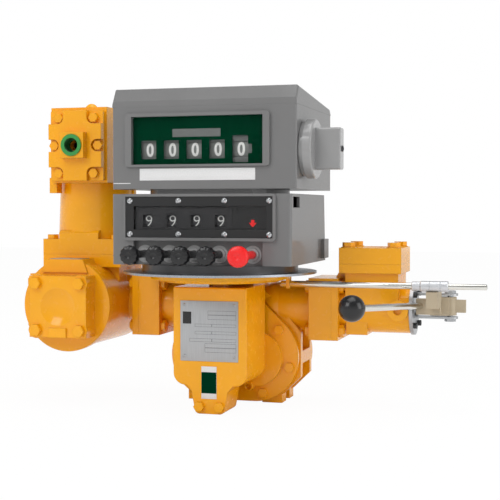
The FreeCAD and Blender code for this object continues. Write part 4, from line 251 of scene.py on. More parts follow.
def textured(
    name, base, roughness, surface, width, depth, strength, detail, dark, play, edge, stretch=None, cloud=None
):
    """A finish whose texture raises the surface, breaks its gloss by play and darkens its colour to dark.

    The lumps are width wide and depth deep, and edge is how far sharp edges look rounded, all in metres.
    A stretch draws the lumps out along an axis. A cloud is the width of calmer lumps that shade the colour.
    """
    material = new_material(name)
    tree = material.node_tree
    place = (add(tree, "ShaderNodeTexCoord"), "Object")
    if stretch:
        place = (add(tree, "ShaderNodeMapping", {"Vector": place, "Scale": stretch}), "Vector")
    lumps = add(tree, "ShaderNodeTexNoise", {"Vector": place, "Scale": 1 / width, "Detail": detail})
    shading = lumps
    if cloud:
        shading = add(tree, "ShaderNodeTexNoise", {"Vector": place, "Scale": 1 / cloud, "Detail": 2.0})
    rounded = add(tree, "ShaderNodeBevel", {"Radius": edge}, samples=4)
    relief = {"Height": (lumps, "Fac"), "Distance": depth, "Strength": strength}
    bump = add(tree, "ShaderNodeBump", {**relief, "Normal": (rounded, "Normal")})
    # nearly all of the noise lies in this range
    noise = {"From Min": 0.3, "From Max": 0.7}
    share = add(tree, "ShaderNodeMapRange", {"Value": (shading, "Fac"), **noise})
    # a colour mix takes its factor and its two colours at sockets 0, 6 and 7, and gives the colour at 2
    tones = {0: (share, "Result"), 6: linear(shade(base, dark)), 7: linear(base)}
    tone = add(tree, "ShaderNodeMix", tones, data_type="RGBA")
    gloss_range = {"To Min": roughness * (1 - play), "To Max": roughness * (1 + play)}
    gloss = add(tree, "ShaderNodeMapRange", {"Value": (lumps, "Fac"), **noise, **gloss_range})
    links = {"Base Color": (tone, 2), "Roughness": (gloss, "Result"), "Normal": (bump, "Normal")}
    shader = add(tree, "ShaderNodeBsdfPrincipled", {**surface, **links})
    add(tree, "ShaderNodeOutputMaterial", {"Surface": (shader, "BSDF")})
    return material


def enamel(name, base, roughness, lump, lump_depth, edge, coat=0.35, shine=0.5):
    """Sprayed enamel over a casting: even colour, soft orange peel, paint drawn thin round the edges."""
    return textured(
        name,
        base,
        roughness,
        surface={"Coat Weight": coat, "Coat Roughness": 0.08, "Specular IOR Level": shine},
        width=lump,
        depth=lump_depth,
        strength=0.1,
        detail=3.0,
        dark=0.97,
        play=0.15,
        edge=edge,
        cloud=CLOUD_SIZE,
    )


def machined(name, base, roughness, stretch=(1, 1, 1), edge=0.3 * MM):
    """Turned or drawn metal: fine tool marks that run along one axis."""
    return textured(
        name,
        base,
        roughness,
        surface={"Metallic": 1.0},
        width=TOOL_MARK,
        depth=TOOL_MARK_DEPTH,
        strength=0.2,
        detail=4.0,
        dark=0.92,
        play=0.2,
        edge=edge,
        stretch=stretch,
    )


def moulded(name, base, roughness, edge=0.3 * MM):
    """Injection-moulded plastic: faint spark-eroded texture and slightly uneven gloss."""
    return textured(
        name,
        base,
        roughness,
        surface={"IOR": 1.5},
        width=SPARK_SIZE,
        depth=SPARK_DEPTH,
        strength=0.25,
        detail=2.0,
        dark=0.9,
        play=0.15,
        edge=edge,
    )


def clear_pane(name):
    """Float glass: light passes nearly unchanged, with a thin reflection."""
    material = new_material(name)
    glass = {"Base Color": linear("#191919"), "Roughness": 0.02, "Alpha": 0.03}
    shader = add(material.node_tree, "ShaderNodeBsdfPrincipled", glass)
    add(material.node_tree, "ShaderNodeOutputMaterial", {"Surface": (shader, "BSDF")})
    return material


def make_materials(colours):
    """Every finish by its plain name; a comment says what each gives the eye."""
    # enamel: name, colour, roughness, width and depth of the orange peel, width of soft edges, coat, shine
    # machined and moulded: name, colour, roughness, then the marks' stretch (machined), soft edges
    made = (
        # two-part machinery enamel on sand castings: a deep gloss with soft edges, over an orange peel
        # that is drawn wider than the real one, so that it shows
        enamel("machinery_enamel", colours.casting, 0.25, 9 * MM, 0.1 * MM, 1.8 * MM, 0.45, 0.25),
        # stoved enamel on die-cast cases: an even satin grey with a fine pebble
        enamel("case_enamel", colours.case, 0.42, 1.6 * MM, 0.12 * MM, 0.8 * MM, coat=0.3),
        # the same enamel, lighter as painted light on the knob's side-lit faces, and polished by hands: the
        # knob shows sharper lights than the case
        enamel("knob_painted_light_enamel", shade(colours.case, 1.3), 0.2, 3 * MM, 0.03 * MM, 0.8 * MM, coat=0.5),
        # dark stoved enamel on the preset's turned base, its darkness partly painted shade: it reads as a
        # shadow line under the case
        enamel("dark_enamel", "#3A3A3C", 0.35, 3 * MM, 0.1 * MM, 0.6 * MM),
        # flat enamel screened on sheet: deep colour with no reflection, so the figures stand out
        enamel("dial_enamel", colours.dial, 0.6, 1.2 * MM, 0.02 * MM, 0.2 * MM, 0.0, 0.0),
        # brushed-on enamel on the vent bushing: bright ring with a soft rim light
        enamel("ring_enamel", colours.ring, 0.35, 2 * MM, 0.08 * MM, 0.5 * MM),
        # the same enamel inside the bore, thinner, and darkened as painted shade: the hole reads as deep
        enamel("thread_painted_shade_enamel", shade(colours.ring, 0.55), 0.4, 2 * MM, 0.05 * MM, 0.2 * MM),
        # bronze-coloured enamel on an investment casting: dry and even, with no clear coat
        enamel("lever_enamel", colours.lever, 0.6, 1.2 * MM, 0.12 * MM, 0.6 * MM, coat=0.0),
        # grey cast iron, turned: dull metal with broken tool marks
        machined("cast_iron", "#6E6E70", 0.5),
        # black-oxide steel screws: dark metal that still glints at the edges
        machined("dark_steel", "#4A4B4D", 0.35),
        # bright turned steel: small crisp lights
        machined("turned_steel", "#C9CBCD", 0.28),
        # zinc-plated steel: pale grey with a soft, slightly cloudy shine
        machined("zinc_steel", "#B9BBBD", 0.34),
        # drawn and polished stainless rod: long streaks of light along its length
        machined("drawn_rod", "#E3E2DC", 0.14, (0.05, 1, 1)),
        # spun steel disc: cool grey with a clean bright rim
        machined("spun_plate", "#AEB4BC", 0.3),
        # turned brass: warm metal with fine rings
        machined("turned_brass", "#C9A75A", 0.3),
        # etched aluminium plate: satin grey brushed up and down
        machined("etched_plate", "#B9BBBD", 0.42, (1, 1, 0.05), 0.1 * MM),
        # moulded ABS frame: near-black with a soft edge light
        moulded("bezel_plastic", colours.bezel, 0.35, 0.6 * MM),
        # phenolic ball knob: glossy black with round window lights
        moulded("knob_plastic", "#1A1A1C", 0.22),
        # moulded nylon button heads: black, with small lights on every flute
        moulded("button_plastic", "#161618", 0.26),
        # the same nylon in signal red: saturated, with a soft light on the crown
        moulded("stop_plastic", colours.stop, 0.3),
        # matt ABS mask: a flat dark ground round the preset's figures
        moulded("mask_plastic", "#262628", 0.6),
        # matt grey acetal number wheels: pale enough to show round the figures
        moulded("wheel_plastic", "#7C807D", 0.6),
        # the same acetal as a thin sheet behind the dial's windows, a tone darker than the wheels as painted
        # shade in the windows
        moulded("slot_painted_shade_plastic", "#6E7270", 0.6),
        # natural nylon washers: pale grey rings that set off the black buttons
        moulded("washer_nylon", "#B2B2B2", 0.5),
        # dark acetal wheels with painted light: lighter than the mask to make up for the shade in the bezel's
        # slots, so they read close to the mask and only the white figures show
        moulded("preset_wheel_plastic", "#4C4C4E", 0.6),
        # foamed nitrile float: matt dark grey
        moulded("float_plastic", "#4A4A4C", 0.5),
        # pad-printed white ink: flat and crisp
        moulded("figure_ink", colours.digits, 0.6, 0.05 * MM),
        # pad-printed red ink: flat, a little brighter than the button
        moulded("arrow_ink", colours.stop, 0.5, 0.05 * MM),
        # vinyl label: white with a faint sheen
        moulded("label_vinyl", "#E8E8E8", 0.45, 0.1 * MM),
        # etched and filled rules on the name plate: thin dark lines
        moulded("rule_ink", "#3A3A3C", 0.6, 0.02 * MM),
        clear_pane("pane_glass"),
    )
    # Blender adds a number to a name that the frame's own materials already use
    return {material.name.split(".")[0]: material for material in made}


NODES_BY_FINISH = {
    "machinery_enamel": (
        "meter_housing", "bearing_plates", "front_cover", "rear_cover", "cover_bolts", "dust_cover",
        "register_adapter", "strainer_body", "strainer_cap", "inlet_flange", "eliminator_body",
        "eliminator_cover", "eliminator_screws", "flange_bolts", "valve_body", "outlet_flange",
    ),
    "cast_iron": ("blocking_rotor", "displacement_rotor_left", "displacement_rotor_right"),
    "turned_steel": (
        "blocking_gear", "displacement_gear_left", "displacement_gear_right", "drive_bevel_gear",
        "output_shaft", "wheel_shafts", "strainer_basket", "valve_spring",
    ),
    "turned_brass": ("packing_gland", "valve_piston"),
    "spun_plate": ("mounting_plate",),
    # the preset's base is dark partly as painted shade under the case
    "dark_enamel": ("preset_base",),
    "case_enamel": ("preset_case", "register_case", "register_lid"),
    "bezel_plastic": ("preset_bezel",),
    "pane_glass": ("counter_windows",),
    "dial_enamel": ("register_dial",),
    # the knob's enamel is painted lighter than the case, as light on its side-lit faces
    "knob_painted_light_enamel": ("reset_knob",),
    "float_plastic": ("eliminator_float",),
    "ring_enamel": ("vent_bushing",),
    "zinc_steel": ("valve_end_plate",),
    "lever_enamel": ("lever_arm",),
    "drawn_rod": ("handle_rod", "trip_rod"),
    "knob_plastic": ("ball_knob",),
    "stop_plastic": ("stop_button",),
    # the preset's wheels are painted lighter than the mask, against the shade in the bezel's slots
    "preset_wheel_plastic": tuple(f"preset_wheel_{i}" for i in PRESET_WHEELS),
    "button_plastic": tuple(f"preset_button_{i}" for i in PRESET_WHEELS),
    "wheel_plastic": tuple(f"register_wheel_{i}" for i in REGISTER_WHEELS),
}
NODE_FINISH = {node: finish for finish, nodes in NODES_BY_FINISH.items() for node in nodes}


# ---- making pieces ---------------------------------------------------------------------------------


def piece(name, mesh, finish, body="meter", smooth=True):
    """Turn a bmesh into a piece that rides on a body."""
    bmesh.ops.remove_doubles(mesh, verts=mesh.verts, dist=SAME_CORNER)
    bmesh.ops.recalc_face_normals(mesh, faces=mesh.faces)
    data = bpy.data.meshes.new(name)
    mesh.to_mesh(data)
    mesh.free()
    if smooth:
        data.shade_smooth()
        data.set_sharp_from_angle(angle=SHARP_ANGLE)
    else:
        data.shade_flat()
    obj = bpy.data.objects.new(name, data)
    bpy.context.scene.collection.objects.link(obj)
    data.materials.append(bpy.data.materials[finish])
    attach(obj, body)
    return obj


def frame_of(origin, out, right=X):
    """A matrix that lays local X along right and local Z along out, at an origin."""
    up = out.cross(right)
    return Matrix.Translation(origin) @ Matrix((right, up, out)).transposed().to_4x4()


def spin_profile(mesh, profile, steps):
    """Spin a profile of (radius, height) points all the way round local Z."""
    start = [mesh.verts.new((radius, 0, height)) for radius, height in profile]
    edges = [mesh.edges.new(pair) for pair in zip(start, start[1:])]
    bmesh.ops.spin(
        mesh, geom=start + edges, cent=(0, 0, 0), axis=(0, 0, 1), angle=math.tau, steps=steps, use_merge=True
    )


def lathe(mesh, profile, matrix, steps=32):
    """Spin a profile and place it; corners that already stand in their place carry a tag."""
    spin_profile(mesh, profile, steps)
    verts = [v for v in mesh.verts if not v.tag]
    bmesh.ops.transform(mesh, matrix=matrix, verts=verts)
    for v in verts:
        v.tag = True


def block(mesh, low, high, bevel=0.0):
    """A box between two corners, with its edges rounded by the bevel."""
    made = bmesh.ops.create_cube(mesh, size=1)["verts"]
    bmesh.ops.scale(mesh, vec=high - low, verts=made)
    bmesh.ops.translate(mesh, vec=(low + high) / 2, verts=made)
    if bevel:
        edges = list({edge for v in made for edge in v.link_edges})
        bmesh.ops.bevel(mesh, geom=edges, offset=bevel, segments=2, profile=0.5, affect="EDGES", material=-1)


def sheet(name, fields, level, depth, finish, bevel=0.1 * MM):
    """Thin plates on a wall that faces the front; a field is its left, right, low and high sides in mm."""
    mesh = bmesh.new()
    for left, right, low, high in fields:
        near = Vector((left * MM, level - depth, low * MM))
        far = Vector((right * MM, level, high * MM))
        block(mesh, near, far, bevel)
    return piece(name, mesh, finish)


def figure_mesh(text, height, weight, width=None):
    """A figure in the XY plane, centred, at a cap height; weight thickens its strokes."""
    curve = bpy.data.curves.new("figure", "FONT")
    curve.body = text
    curve.align_x, curve.align_y = "CENTER", "CENTER"
    curve.extrude = FIGURE_EXTRUDE
    curve.resolution_u = 6
    curve.offset = weight
    holder = bpy.data.objects.new("figure", curve)
    bpy.context.scene.collection.objects.link(holder)
    bpy.context.view_layer.update()
    data = bpy.data.meshes.new_from_object(holder.evaluated_get(bpy.context.evaluated_depsgraph_get()))
    bpy.data.objects.remove(holder)
    bpy.data.curves.remove(curve)
    mesh = bmesh.new()
    mesh.from_mesh(data)
    bpy.data.meshes.remove(data)
    low = Vector([min(v.co[i] for v in mesh.verts) for i in range(3)])
    high = Vector([max(v.co[i] for v in mesh.verts) for i in range(3)])
    scale = height / (high.y - low.y)
    across = width / (high.x - low.x) if width else scale
    relief = FIGURE_RELIEF / (2 * FIGURE_EXTRUDE)
    bmesh.ops.translate(mesh, vec=-(low + high) / 2, verts=mesh.verts)
    bmesh.ops.scale(mesh, vec=(across, scale, relief), verts=mesh.verts)
    return mesh


def bend_round_wheel(mesh, middle, radius, turn):
    """Wrap a flat figure round a wheel whose axis is X; turn is the angle from the front."""
    for v in mesh.verts:
        angle = turn + v.co.y / radius
        out = radius + v.co.z
        v.co = middle + Vector((v.co.x, -out * math.cos(angle), out * math.sin(angle)))


def wheel_figures(node, body, height, width, weight, shown):
    """Ten printed figures round one number wheel; the shown one faces the front."""
    wheel = Place(node)
    radius = wheel.size.z / 2
    whole = bmesh.new()
    for k in range(10):
        figure = (shown + k) % 10
        # a 1 keeps its own narrow shape
        mesh = figure_mesh(str(figure), height, weight, width if figure != 1 else None)
        # long upright edges are cut, so that they can follow the wheel
        long_edges = [e for e in mesh.edges if abs(e.verts[0].co.y - e.verts[1].co.y) > height / 3]
        bmesh.ops.subdivide_edges(mesh, edges=long_edges, cuts=3)
        bend_round_wheel(mesh, wheel.middle, radius, -k * math.tau / 10)
        data = bpy.data.meshes.new("part")
        mesh.to_mesh(data)
        mesh.free()
        whole.from_mesh(data)
        bpy.data.meshes.remove(data)
    return piece(f"{node}_figures", whole, "figure_ink", body, smooth=False)


# ---- operators -------------------------------------------------------------------------------------


class METER_OT_finishes(bpy.types.Operator):
    """Give every CAD node its finish"""

    bl_idname = "meter.finishes"
    bl_label = "Finishes"

    def execute(self, context):
        materials = make_materials(context.scene.meter_colours)
        for name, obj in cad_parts.items():
            obj.data.materials.clear()
            obj.data.materials.append(materials[NODE_FINISH[name]])
        return {"FINISHED"}


class METER_OT_register_figures(bpy.types.Operator):
    """Print the figures on the register's five wheels"""

    bl_idname = "meter.register_figures"
    bl_label = "Register figures"

    def execute(self, context):
        size = context.scene.meter_sizes.register_digit
        for i in REGISTER_WHEELS:
            node, body = f"register_wheel_{i}", f"register_digit_{i}"
            wheel_figures(node, body, size, width=size * 0.55, weight=0.03, shown=0)
        return {"FINISHED"}


class METER_OT_preset_figures(bpy.types.Operator):
    """Print the figures on the preset counter's four wheels"""

    bl_idname = "meter.preset_figures"
    bl_label = "Preset figures"

    def execute(self, context):
        size = context.scene.meter_sizes.preset_digit
        for i in PRESET_WHEELS:
            node, body = f"preset_wheel_{i}", f"preset_digit_{i}"
            wheel_figures(node, body, size, width=size * 0.62, weight=-0.012, shown=9)
        return {"FINISHED"}


class METER_OT_plates(bpy.types.Operator):
    """Fix the name plate with its rivets, rules and dark square, and the badge below it"""

    bl_idname = "meter.plates"
    bl_label = "Plates"

    def execute(self, context):
        thick = context.scene.meter_sizes.plate_thickness
        cover = Place("dust_cover")
        wall = cover.low.y
        face = wall - thick
        middle = cover.middle.x / MM

        left, right = middle - 42, middle + 41.5
        edge = 0.3 * MM
        sheet("name_plate", [(left, right, 73, 156.5)], wall, thick, "etched_plate", edge)
        mesh = bmesh.new()
        for x in (left + 5.5, right - 5.5):
            for z in (80, 151):
                lathe(mesh, RIVET, frame_of(Vector((x * MM, face, z * MM)), -Y), 16)
        piece("plate_rivets", mesh, "etched_plate")

        rules = []
        for start, end, low, high in PLATE_FIELDS:
            start += middle
            end += middle
            rules += [
                (start, end, low, low + RULE_WIDTH),
                (start, end, high - RULE_WIDTH, high),
                (start, start + RULE_WIDTH, low, high),
                (end - RULE_WIDTH, end, low, high),
            ]
        sheet("plate_fields", rules, face, INK_DEPTH, "rule_ink", 0)
        square = (middle - 38.5, middle - 26, 124.6, 141.3)
        sheet("plate_patch", [square], face, INK_DEPTH, "knob_plastic", 0)

        left, right = middle - 11.6, middle + 10.4
        sheet("badge", [(left, right, 21, 66)], wall, thick, "label_vinyl", edge)
        field = (left + 0.2, right - 0.2, 28.7, 58.1)
        sheet("badge_field", [field], face, 0.1 * MM, "dial_enamel", 0)
        return {"FINISHED"}


class METER_OT_case_marks(bpy.types.Operator):
    """Draw the lid's seam, and fix the label strip, the case's slot and bead lines and the dial's strip"""

    bl_idname = "meter.case_marks"
    bl_label = "Case marks"

    def execute(self, context):
        case = Place("register_case")
        seam = Place("register_lid").low
        reach = Vector((0.05 * MM, 0, 0.35 * MM))
        mesh = bmesh.new()
        for side in (case.low.x, case.high.x):
            near = Vector((side, seam.y + 3 * MM, seam.z))
            far = Vector((side, case.high.y - 3 * MM, seam.z))
            block(mesh, near - reach, far + reach)
        piece("lid_seam", mesh, "dark_enamel", smooth=False)

        wall = case.low.y + FRAME_PROUD
        label = (-90, 73.6, 321.8, 337.9)
        sheet("label_strip", [label], wall, 0.4 * MM, "label_vinyl")
        slot = (-128.6, -103.6, 317.5, 318.5)
        sheet("case_slot", [slot], wall, 0.1 * MM, "label_vinyl", 0)
        bead = (-130, -99.5, 218.6, 219.6)
        sheet("case_bead", [bead], wall, 0.3 * MM, "case_enamel")
        dial = Place("register_dial").low.y
        strip = (-44, 24.3, 380.4, 391.3)
        # the strip wears the register mask's darker acetal, whose tone is painted shade
        sheet("dial_strip", [strip], dial, 0.3 * MM, "slot_painted_shade_plastic")
        return {"FINISHED"}


class METER_OT_tag_plate(bpy.types.Operator):
    """Lay the bare tag plate on the boss behind the strainer's cap"""

    bl_idname = "meter.tag_plate"
    bl_label = "Tag plate"

    def execute(self, context):
        cap = Place("strainer_cap")
        near = Vector((-261 * MM, cap.high.y + 13 * MM, 209.6 * MM))
        far = millimetres(-213, -74, 210.4)
        mesh = bmesh.new()
        block(mesh, near, far, 0.2 * MM)
        piece("tag_plate", mesh, "etched_plate")
        return {"FINISHED"}


class METER_OT_masks(bpy.types.Operator):
    """Fit the thin masks in front of the wheels that leave one figure of each wheel in sight"""

    bl_idname = "meter.masks"
    bl_label = "Figure masks"

    def execute(self, context):
        # counter, its wheels, half the height and half the width of a window, gap to the wheels, looks
        masks = (
            # the register's mask is a tone darker than its wheels: painted shade in the dial's windows
            ("register", REGISTER_WHEELS, 10.4 * MM, 10.5 * MM, 0.9 * MM, "slot_painted_shade_plastic", "gray_wheel"),
            ("preset", PRESET_WHEELS, 8.2 * MM, 6.6 * MM, 5.1 * MM, "mask_plastic", "black_bezel"),
        )
        for counter, numbers, half_height, half_width, gap, finish, slot in masks:
            wheels = [Place(f"{counter}_wheel_{i}") for i in numbers]
            spots = [wheel.middle.x for wheel in wheels]
            front = wheels[0].low.y - gap
            level = wheels[0].middle.z
            half_pitch = (spots[1] - spots[0]) / 2
            left, right = spots[0] - half_pitch, spots[-1] + half_pitch
            low, high = level - half_height, level + half_height
            bars = [(left, right, level - MASK_REACH, low), (left, right, high, level + MASK_REACH)]
            starts = [left] + [spot + half_width for spot in spots]
            ends = [spot - half_width for spot in spots] + [right]
            bars += [(start, end, low, high) for start, end in zip(starts, ends)]
            mesh = bmesh.new()
            for start, end, bottom, top in bars:
                block(mesh, Vector((start, front, bottom)), Vector((end, front + MASK_THICKNESS, top)))
            piece(f"{counter}_mask", mesh, finish, smooth=False)
        return {"FINISHED"}


class METER_OT_threads(bpy.types.Operator):
    """Cut the pipe threads of the vent, the inlet and the outlet"""

    bl_idname = "meter.threads"
    bl_label = "Pipe threads"

    def execute(self, context):
        pitch = context.scene.meter_sizes.thread_pitch
        vent, inlet, outlet = Place("vent_bushing"), Place("inlet_flange"), Place("outlet_flange")
        vent_mouth = Vector((vent.middle.x, vent.low.y, vent.middle.z))
        inlet_mouth = Vector((inlet.low.x, inlet.middle.y, inlet.middle.z))
        outlet_mouth = Vector((outlet.middle.x, outlet.middle.y, outlet.high.z - MM))
        casting = ("machinery_enamel", "yellow_casting")
        # name, mouth, way out, way across, radius, threaded depth, depth of the tube behind it, looks
        bores = (
            # the vent's bore is lined with a darker copy of the ring's enamel, as painted shade
            ("vent_thread", vent_mouth, -Y, X, VENT_BORE, 12 * MM, 30 * MM, "thread_painted_shade_enamel", "green_bushing"),
            ("inlet_thread", inlet_mouth, -X, Y, PIPE_BORE, 15.5 * MM, None, *casting),
            ("outlet_thread", outlet_mouth, Z, X, PIPE_BORE, 22 * MM, None, *casting),
        )
        for name, mouth, out, right, radius, depth, tube, finish, slot in bores:
            narrow = 0.74 * radius
            profile = [(radius, -LEAD_IN)]
            for k in range(round(depth / pitch)):
                level = -LEAD_IN - k * pitch
                crest = (radius - THREAD_DEPTH, level - 0.45 * pitch)
                root = (radius, level - 0.9 * pitch)
                profile += [crest, root]
            profile.append((narrow, root[1]))
            if tube:
                profile.append((narrow, -tube))
            mesh = bmesh.new()
            lathe(mesh, profile, frame_of(mouth, out, right), 48)
            piece(name, mesh, finish)
        return {"FINISHED"}


class METER_OT_trip_rod(bpy.types.Operator):
    """Shape the polished trip rod, its bent tail and its grey sleeve"""

    bl_idname = "meter.trip_rod"
    bl_label = "Trip rod"

    def execute(self, context):
        rod = Place("trip_rod")
        radius, thin, tail = 4.75 * MM, 4 * MM, 16 * MM
        bend = Vector((rod.low.x + radius, rod.low.y + 7.5 * MM, rod.middle.z))
        place = frame_of(bend, X, Y)
        # ends of the collar, of the sleeve's small and large parts and of the rod, from the bend
        collar, sleeve, step, end = (x * MM - bend.x for x in (264, 276, 314, 367))

        mesh = bmesh.new()
        corner = [(0, -radius), (0.7 * radius, -0.7 * radius), (radius, 0)]
        lathe(mesh, corner + [(radius, collar), (0, collar)], place)
        foot = [(0, 0), (radius, 0), (radius, tail), (radius - 0.5 * MM, tail), (0, tail)]
        lathe(mesh, foot, frame_of(bend, Y))
        tip = [
            (0, step),
            (thin, step),
            (thin, end - 1.5 * MM),
            (thin - 0.5 * MM, end - 0.4 * MM),
            (thin - 1.5 * MM, end),
            (0, end),
        ]
        lathe(mesh, tip, place)
        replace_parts(piece("trip_rod_bar", mesh, "drawn_rod", "trip"), "trip_rod")

        small, large, edge = 6.5 * MM, 7.5 * MM, 0.6 * MM
        profile = [
            (0, collar),
            (small - edge, collar),
            (small, collar + edge),
            (small, sleeve - edge),
            (small - edge, sleeve),
            (large - edge, sleeve),
            (large, sleeve + edge),
        ]
        for share in (0.33, 0.72):
            groove = sleeve + share * (step - sleeve)
            profile += [(large, groove - edge), (large - edge, groove), (large, groove + edge)]
        profile += [(large, step - edge), (large - edge, step), (0, step)]
        mesh = bmesh.new()
        lathe(mesh, profile, place)
        # the sleeve wears the frame's own zinc_steel, which is plainer than the finish of that name
        piece("trip_rod_sleeve", mesh, "zinc_steel", "trip")
        return {"FINISHED"}


class METER_OT_screws(bpy.types.Operator):
    """Fit the bezel's screws, the socket screws of the valve's end plate and the knob's screw"""

    bl_idname = "meter.screws"
    bl_label = "Screws"

    def execute(self, context):
        sizes = context.scene.meter_sizes

        bezel = Place("preset_bezel")
        dome = [(across * sizes.screw_radius, rise * sizes.screw_radius) for across, rise in BEZEL_DOME]
        mesh = bmesh.new()
        for x in (-103.7, -33.7, 31.3, 93.2):
            for z in (294, 248.8):
                lathe(mesh, dome, frame_of(Vector((x * MM, bezel.low.y, z * MM)), -Y), 24)
        piece("bezel_screws", mesh, "turned_steel")

        r = sizes.socket_screw
        rise, socket = 5 * MM, 2.5 * MM
        rim = [(0, 0), (r, 0), (r, rise - 0.4 * MM), (0.9 * r, rise)]
        head = rim + [(0.55 * r, rise), (0.5 * r, socket), (0, socket)]
        axis = Vector((262 * MM, 0, Place("valve_end_plate").middle.z))
        mesh = bmesh.new()
        for turn in range(4):
            angle = math.radians(45 + 90 * turn)
            spot = axis + Vector((0, math.cos(angle), math.sin(angle))) * END_PLATE_BOLTS
            lathe(mesh, head, frame_of(spot, X, Y))
        piece("end_plate_screws", mesh, "dark_steel")

        knob = Place("reset_knob")
        end = Vector((knob.high.x, knob.middle.y, knob.middle.z))
        dome = [(across * r, height * r) for across, height in KNOB_DOME]
        mesh = bmesh.new()
        lathe(mesh, dome, frame_of(end, X, Y), 24)
        piece("knob_screw", mesh, "dark_steel", "reset")
        return {"FINISHED"}


class METER_OT_buttons(bpy.types.Operator):
    """Shape the fluted heads of the push buttons, and lay a washer round each"""

    bl_idname = "meter.buttons"
    bl_label = "Push buttons"

    def grip_profile(self, r, depth):
        """From the dished face over the rounded grip to the thin stem."""
        foot = -20 * MM
        stem = 0.4 * r
        return [
            (0, -0.6 * MM),
            (0.25 * r, -0.6 * MM),
            (0.32 * r, 0),
            (0.5 * r, -0.1 * MM),
            (0.74 * r, -0.4 * MM),
            (0.92 * r, -1.6 * MM),
            (r, -4 * MM),
            (r, -10.5 * MM),
            (0.9 * r, -14.5 * MM),
            (0.7 * r, foot),
            (stem, foot - 0.2 * MM),
            (stem, -depth + 2 * MM),
            (0, -depth + 2 * MM),
        ]

    def flute(self, mesh, r, count, depth):
        """Press shallow flutes into the grip; they fade out towards the middle of its face."""
        for v in mesh.verts:
            reach = math.hypot(v.co.x, v.co.y)
            if reach > 0.5 * r and v.co.z > -20 * MM:
                turn = math.atan2(v.co.y, v.co.x)
                fade = min(1, (reach / r - 0.5) * 3)
                pull = depth * (0.5 - 0.5 * math.cos(count * turn)) * fade
                v.co.x -= pull * math.cos(turn)
                v.co.y -= pull * math.sin(turn)

    def execute(self, context):
        depth = context.scene.meter_sizes.flute_depth
        # node, body, how far the grip stands out over its core, flutes, their depth, finish
        buttons = [
            (f"preset_button_{i}", f"button_{i}", 0.9 * MM, 12, depth, "button_plastic")
            for i in PRESET_WHEELS
        ]
        buttons.append(("stop_button", "stop", 1.6 * MM, 24, 0.25 * MM, "stop_plastic"))
        for node, body, extra, count, flute, finish in buttons:
            button = Place(node)
            r = button.size.x / 2 + extra
            mesh = bmesh.new()
            spin_profile(mesh, self.grip_profile(r, button.size.y), 96)
            self.flute(mesh, r, count, flute)
            face = Vector((button.middle.x, button.low.y, button.middle.z))
            bmesh.ops.transform(mesh, matrix=frame_of(face, -Y), verts=mesh.verts)
            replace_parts(piece(f"{node}_grip", mesh, finish, body), node)

        wall = Place("preset_bezel").high.y + 7 * MM
        mesh = bmesh.new()
        for node, *_ in buttons:
            spot = Place(node).middle
            lathe(mesh, WASHER, frame_of(Vector((spot.x, wall, spot.z)), -Y), 48)
        piece("button_plates", mesh, "washer_nylon")
        return {"FINISHED"}


class METER_OT_arrow(bpy.types.Operator):
    """Print the arrow beside the preset figures"""

    bl_idname = "meter.arrow"
    bl_label = "Arrow"

    def execute(self, context):
        bezel = Place("preset_bezel")
        middle = Vector((69.8 * MM, bezel.high.y - 1.6 * MM, 263.6 * MM))
        mesh = bmesh.new()
        corners = [mesh.verts.new(middle + millimetres(x, 0, z)) for x, z in ARROW]
        face = mesh.faces.new(corners)
        made = bmesh.ops.extrude_face_region(mesh, geom=[face])
        moved = [v for v in made["geom"] if isinstance(v, bmesh.types.BMVert)]
        bmesh.ops.translate(mesh, vec=(0, -0.3 * MM, 0), verts=moved)
        piece("stop_arrow", mesh, "arrow_ink", smooth=False)
        return {"FINISHED"}


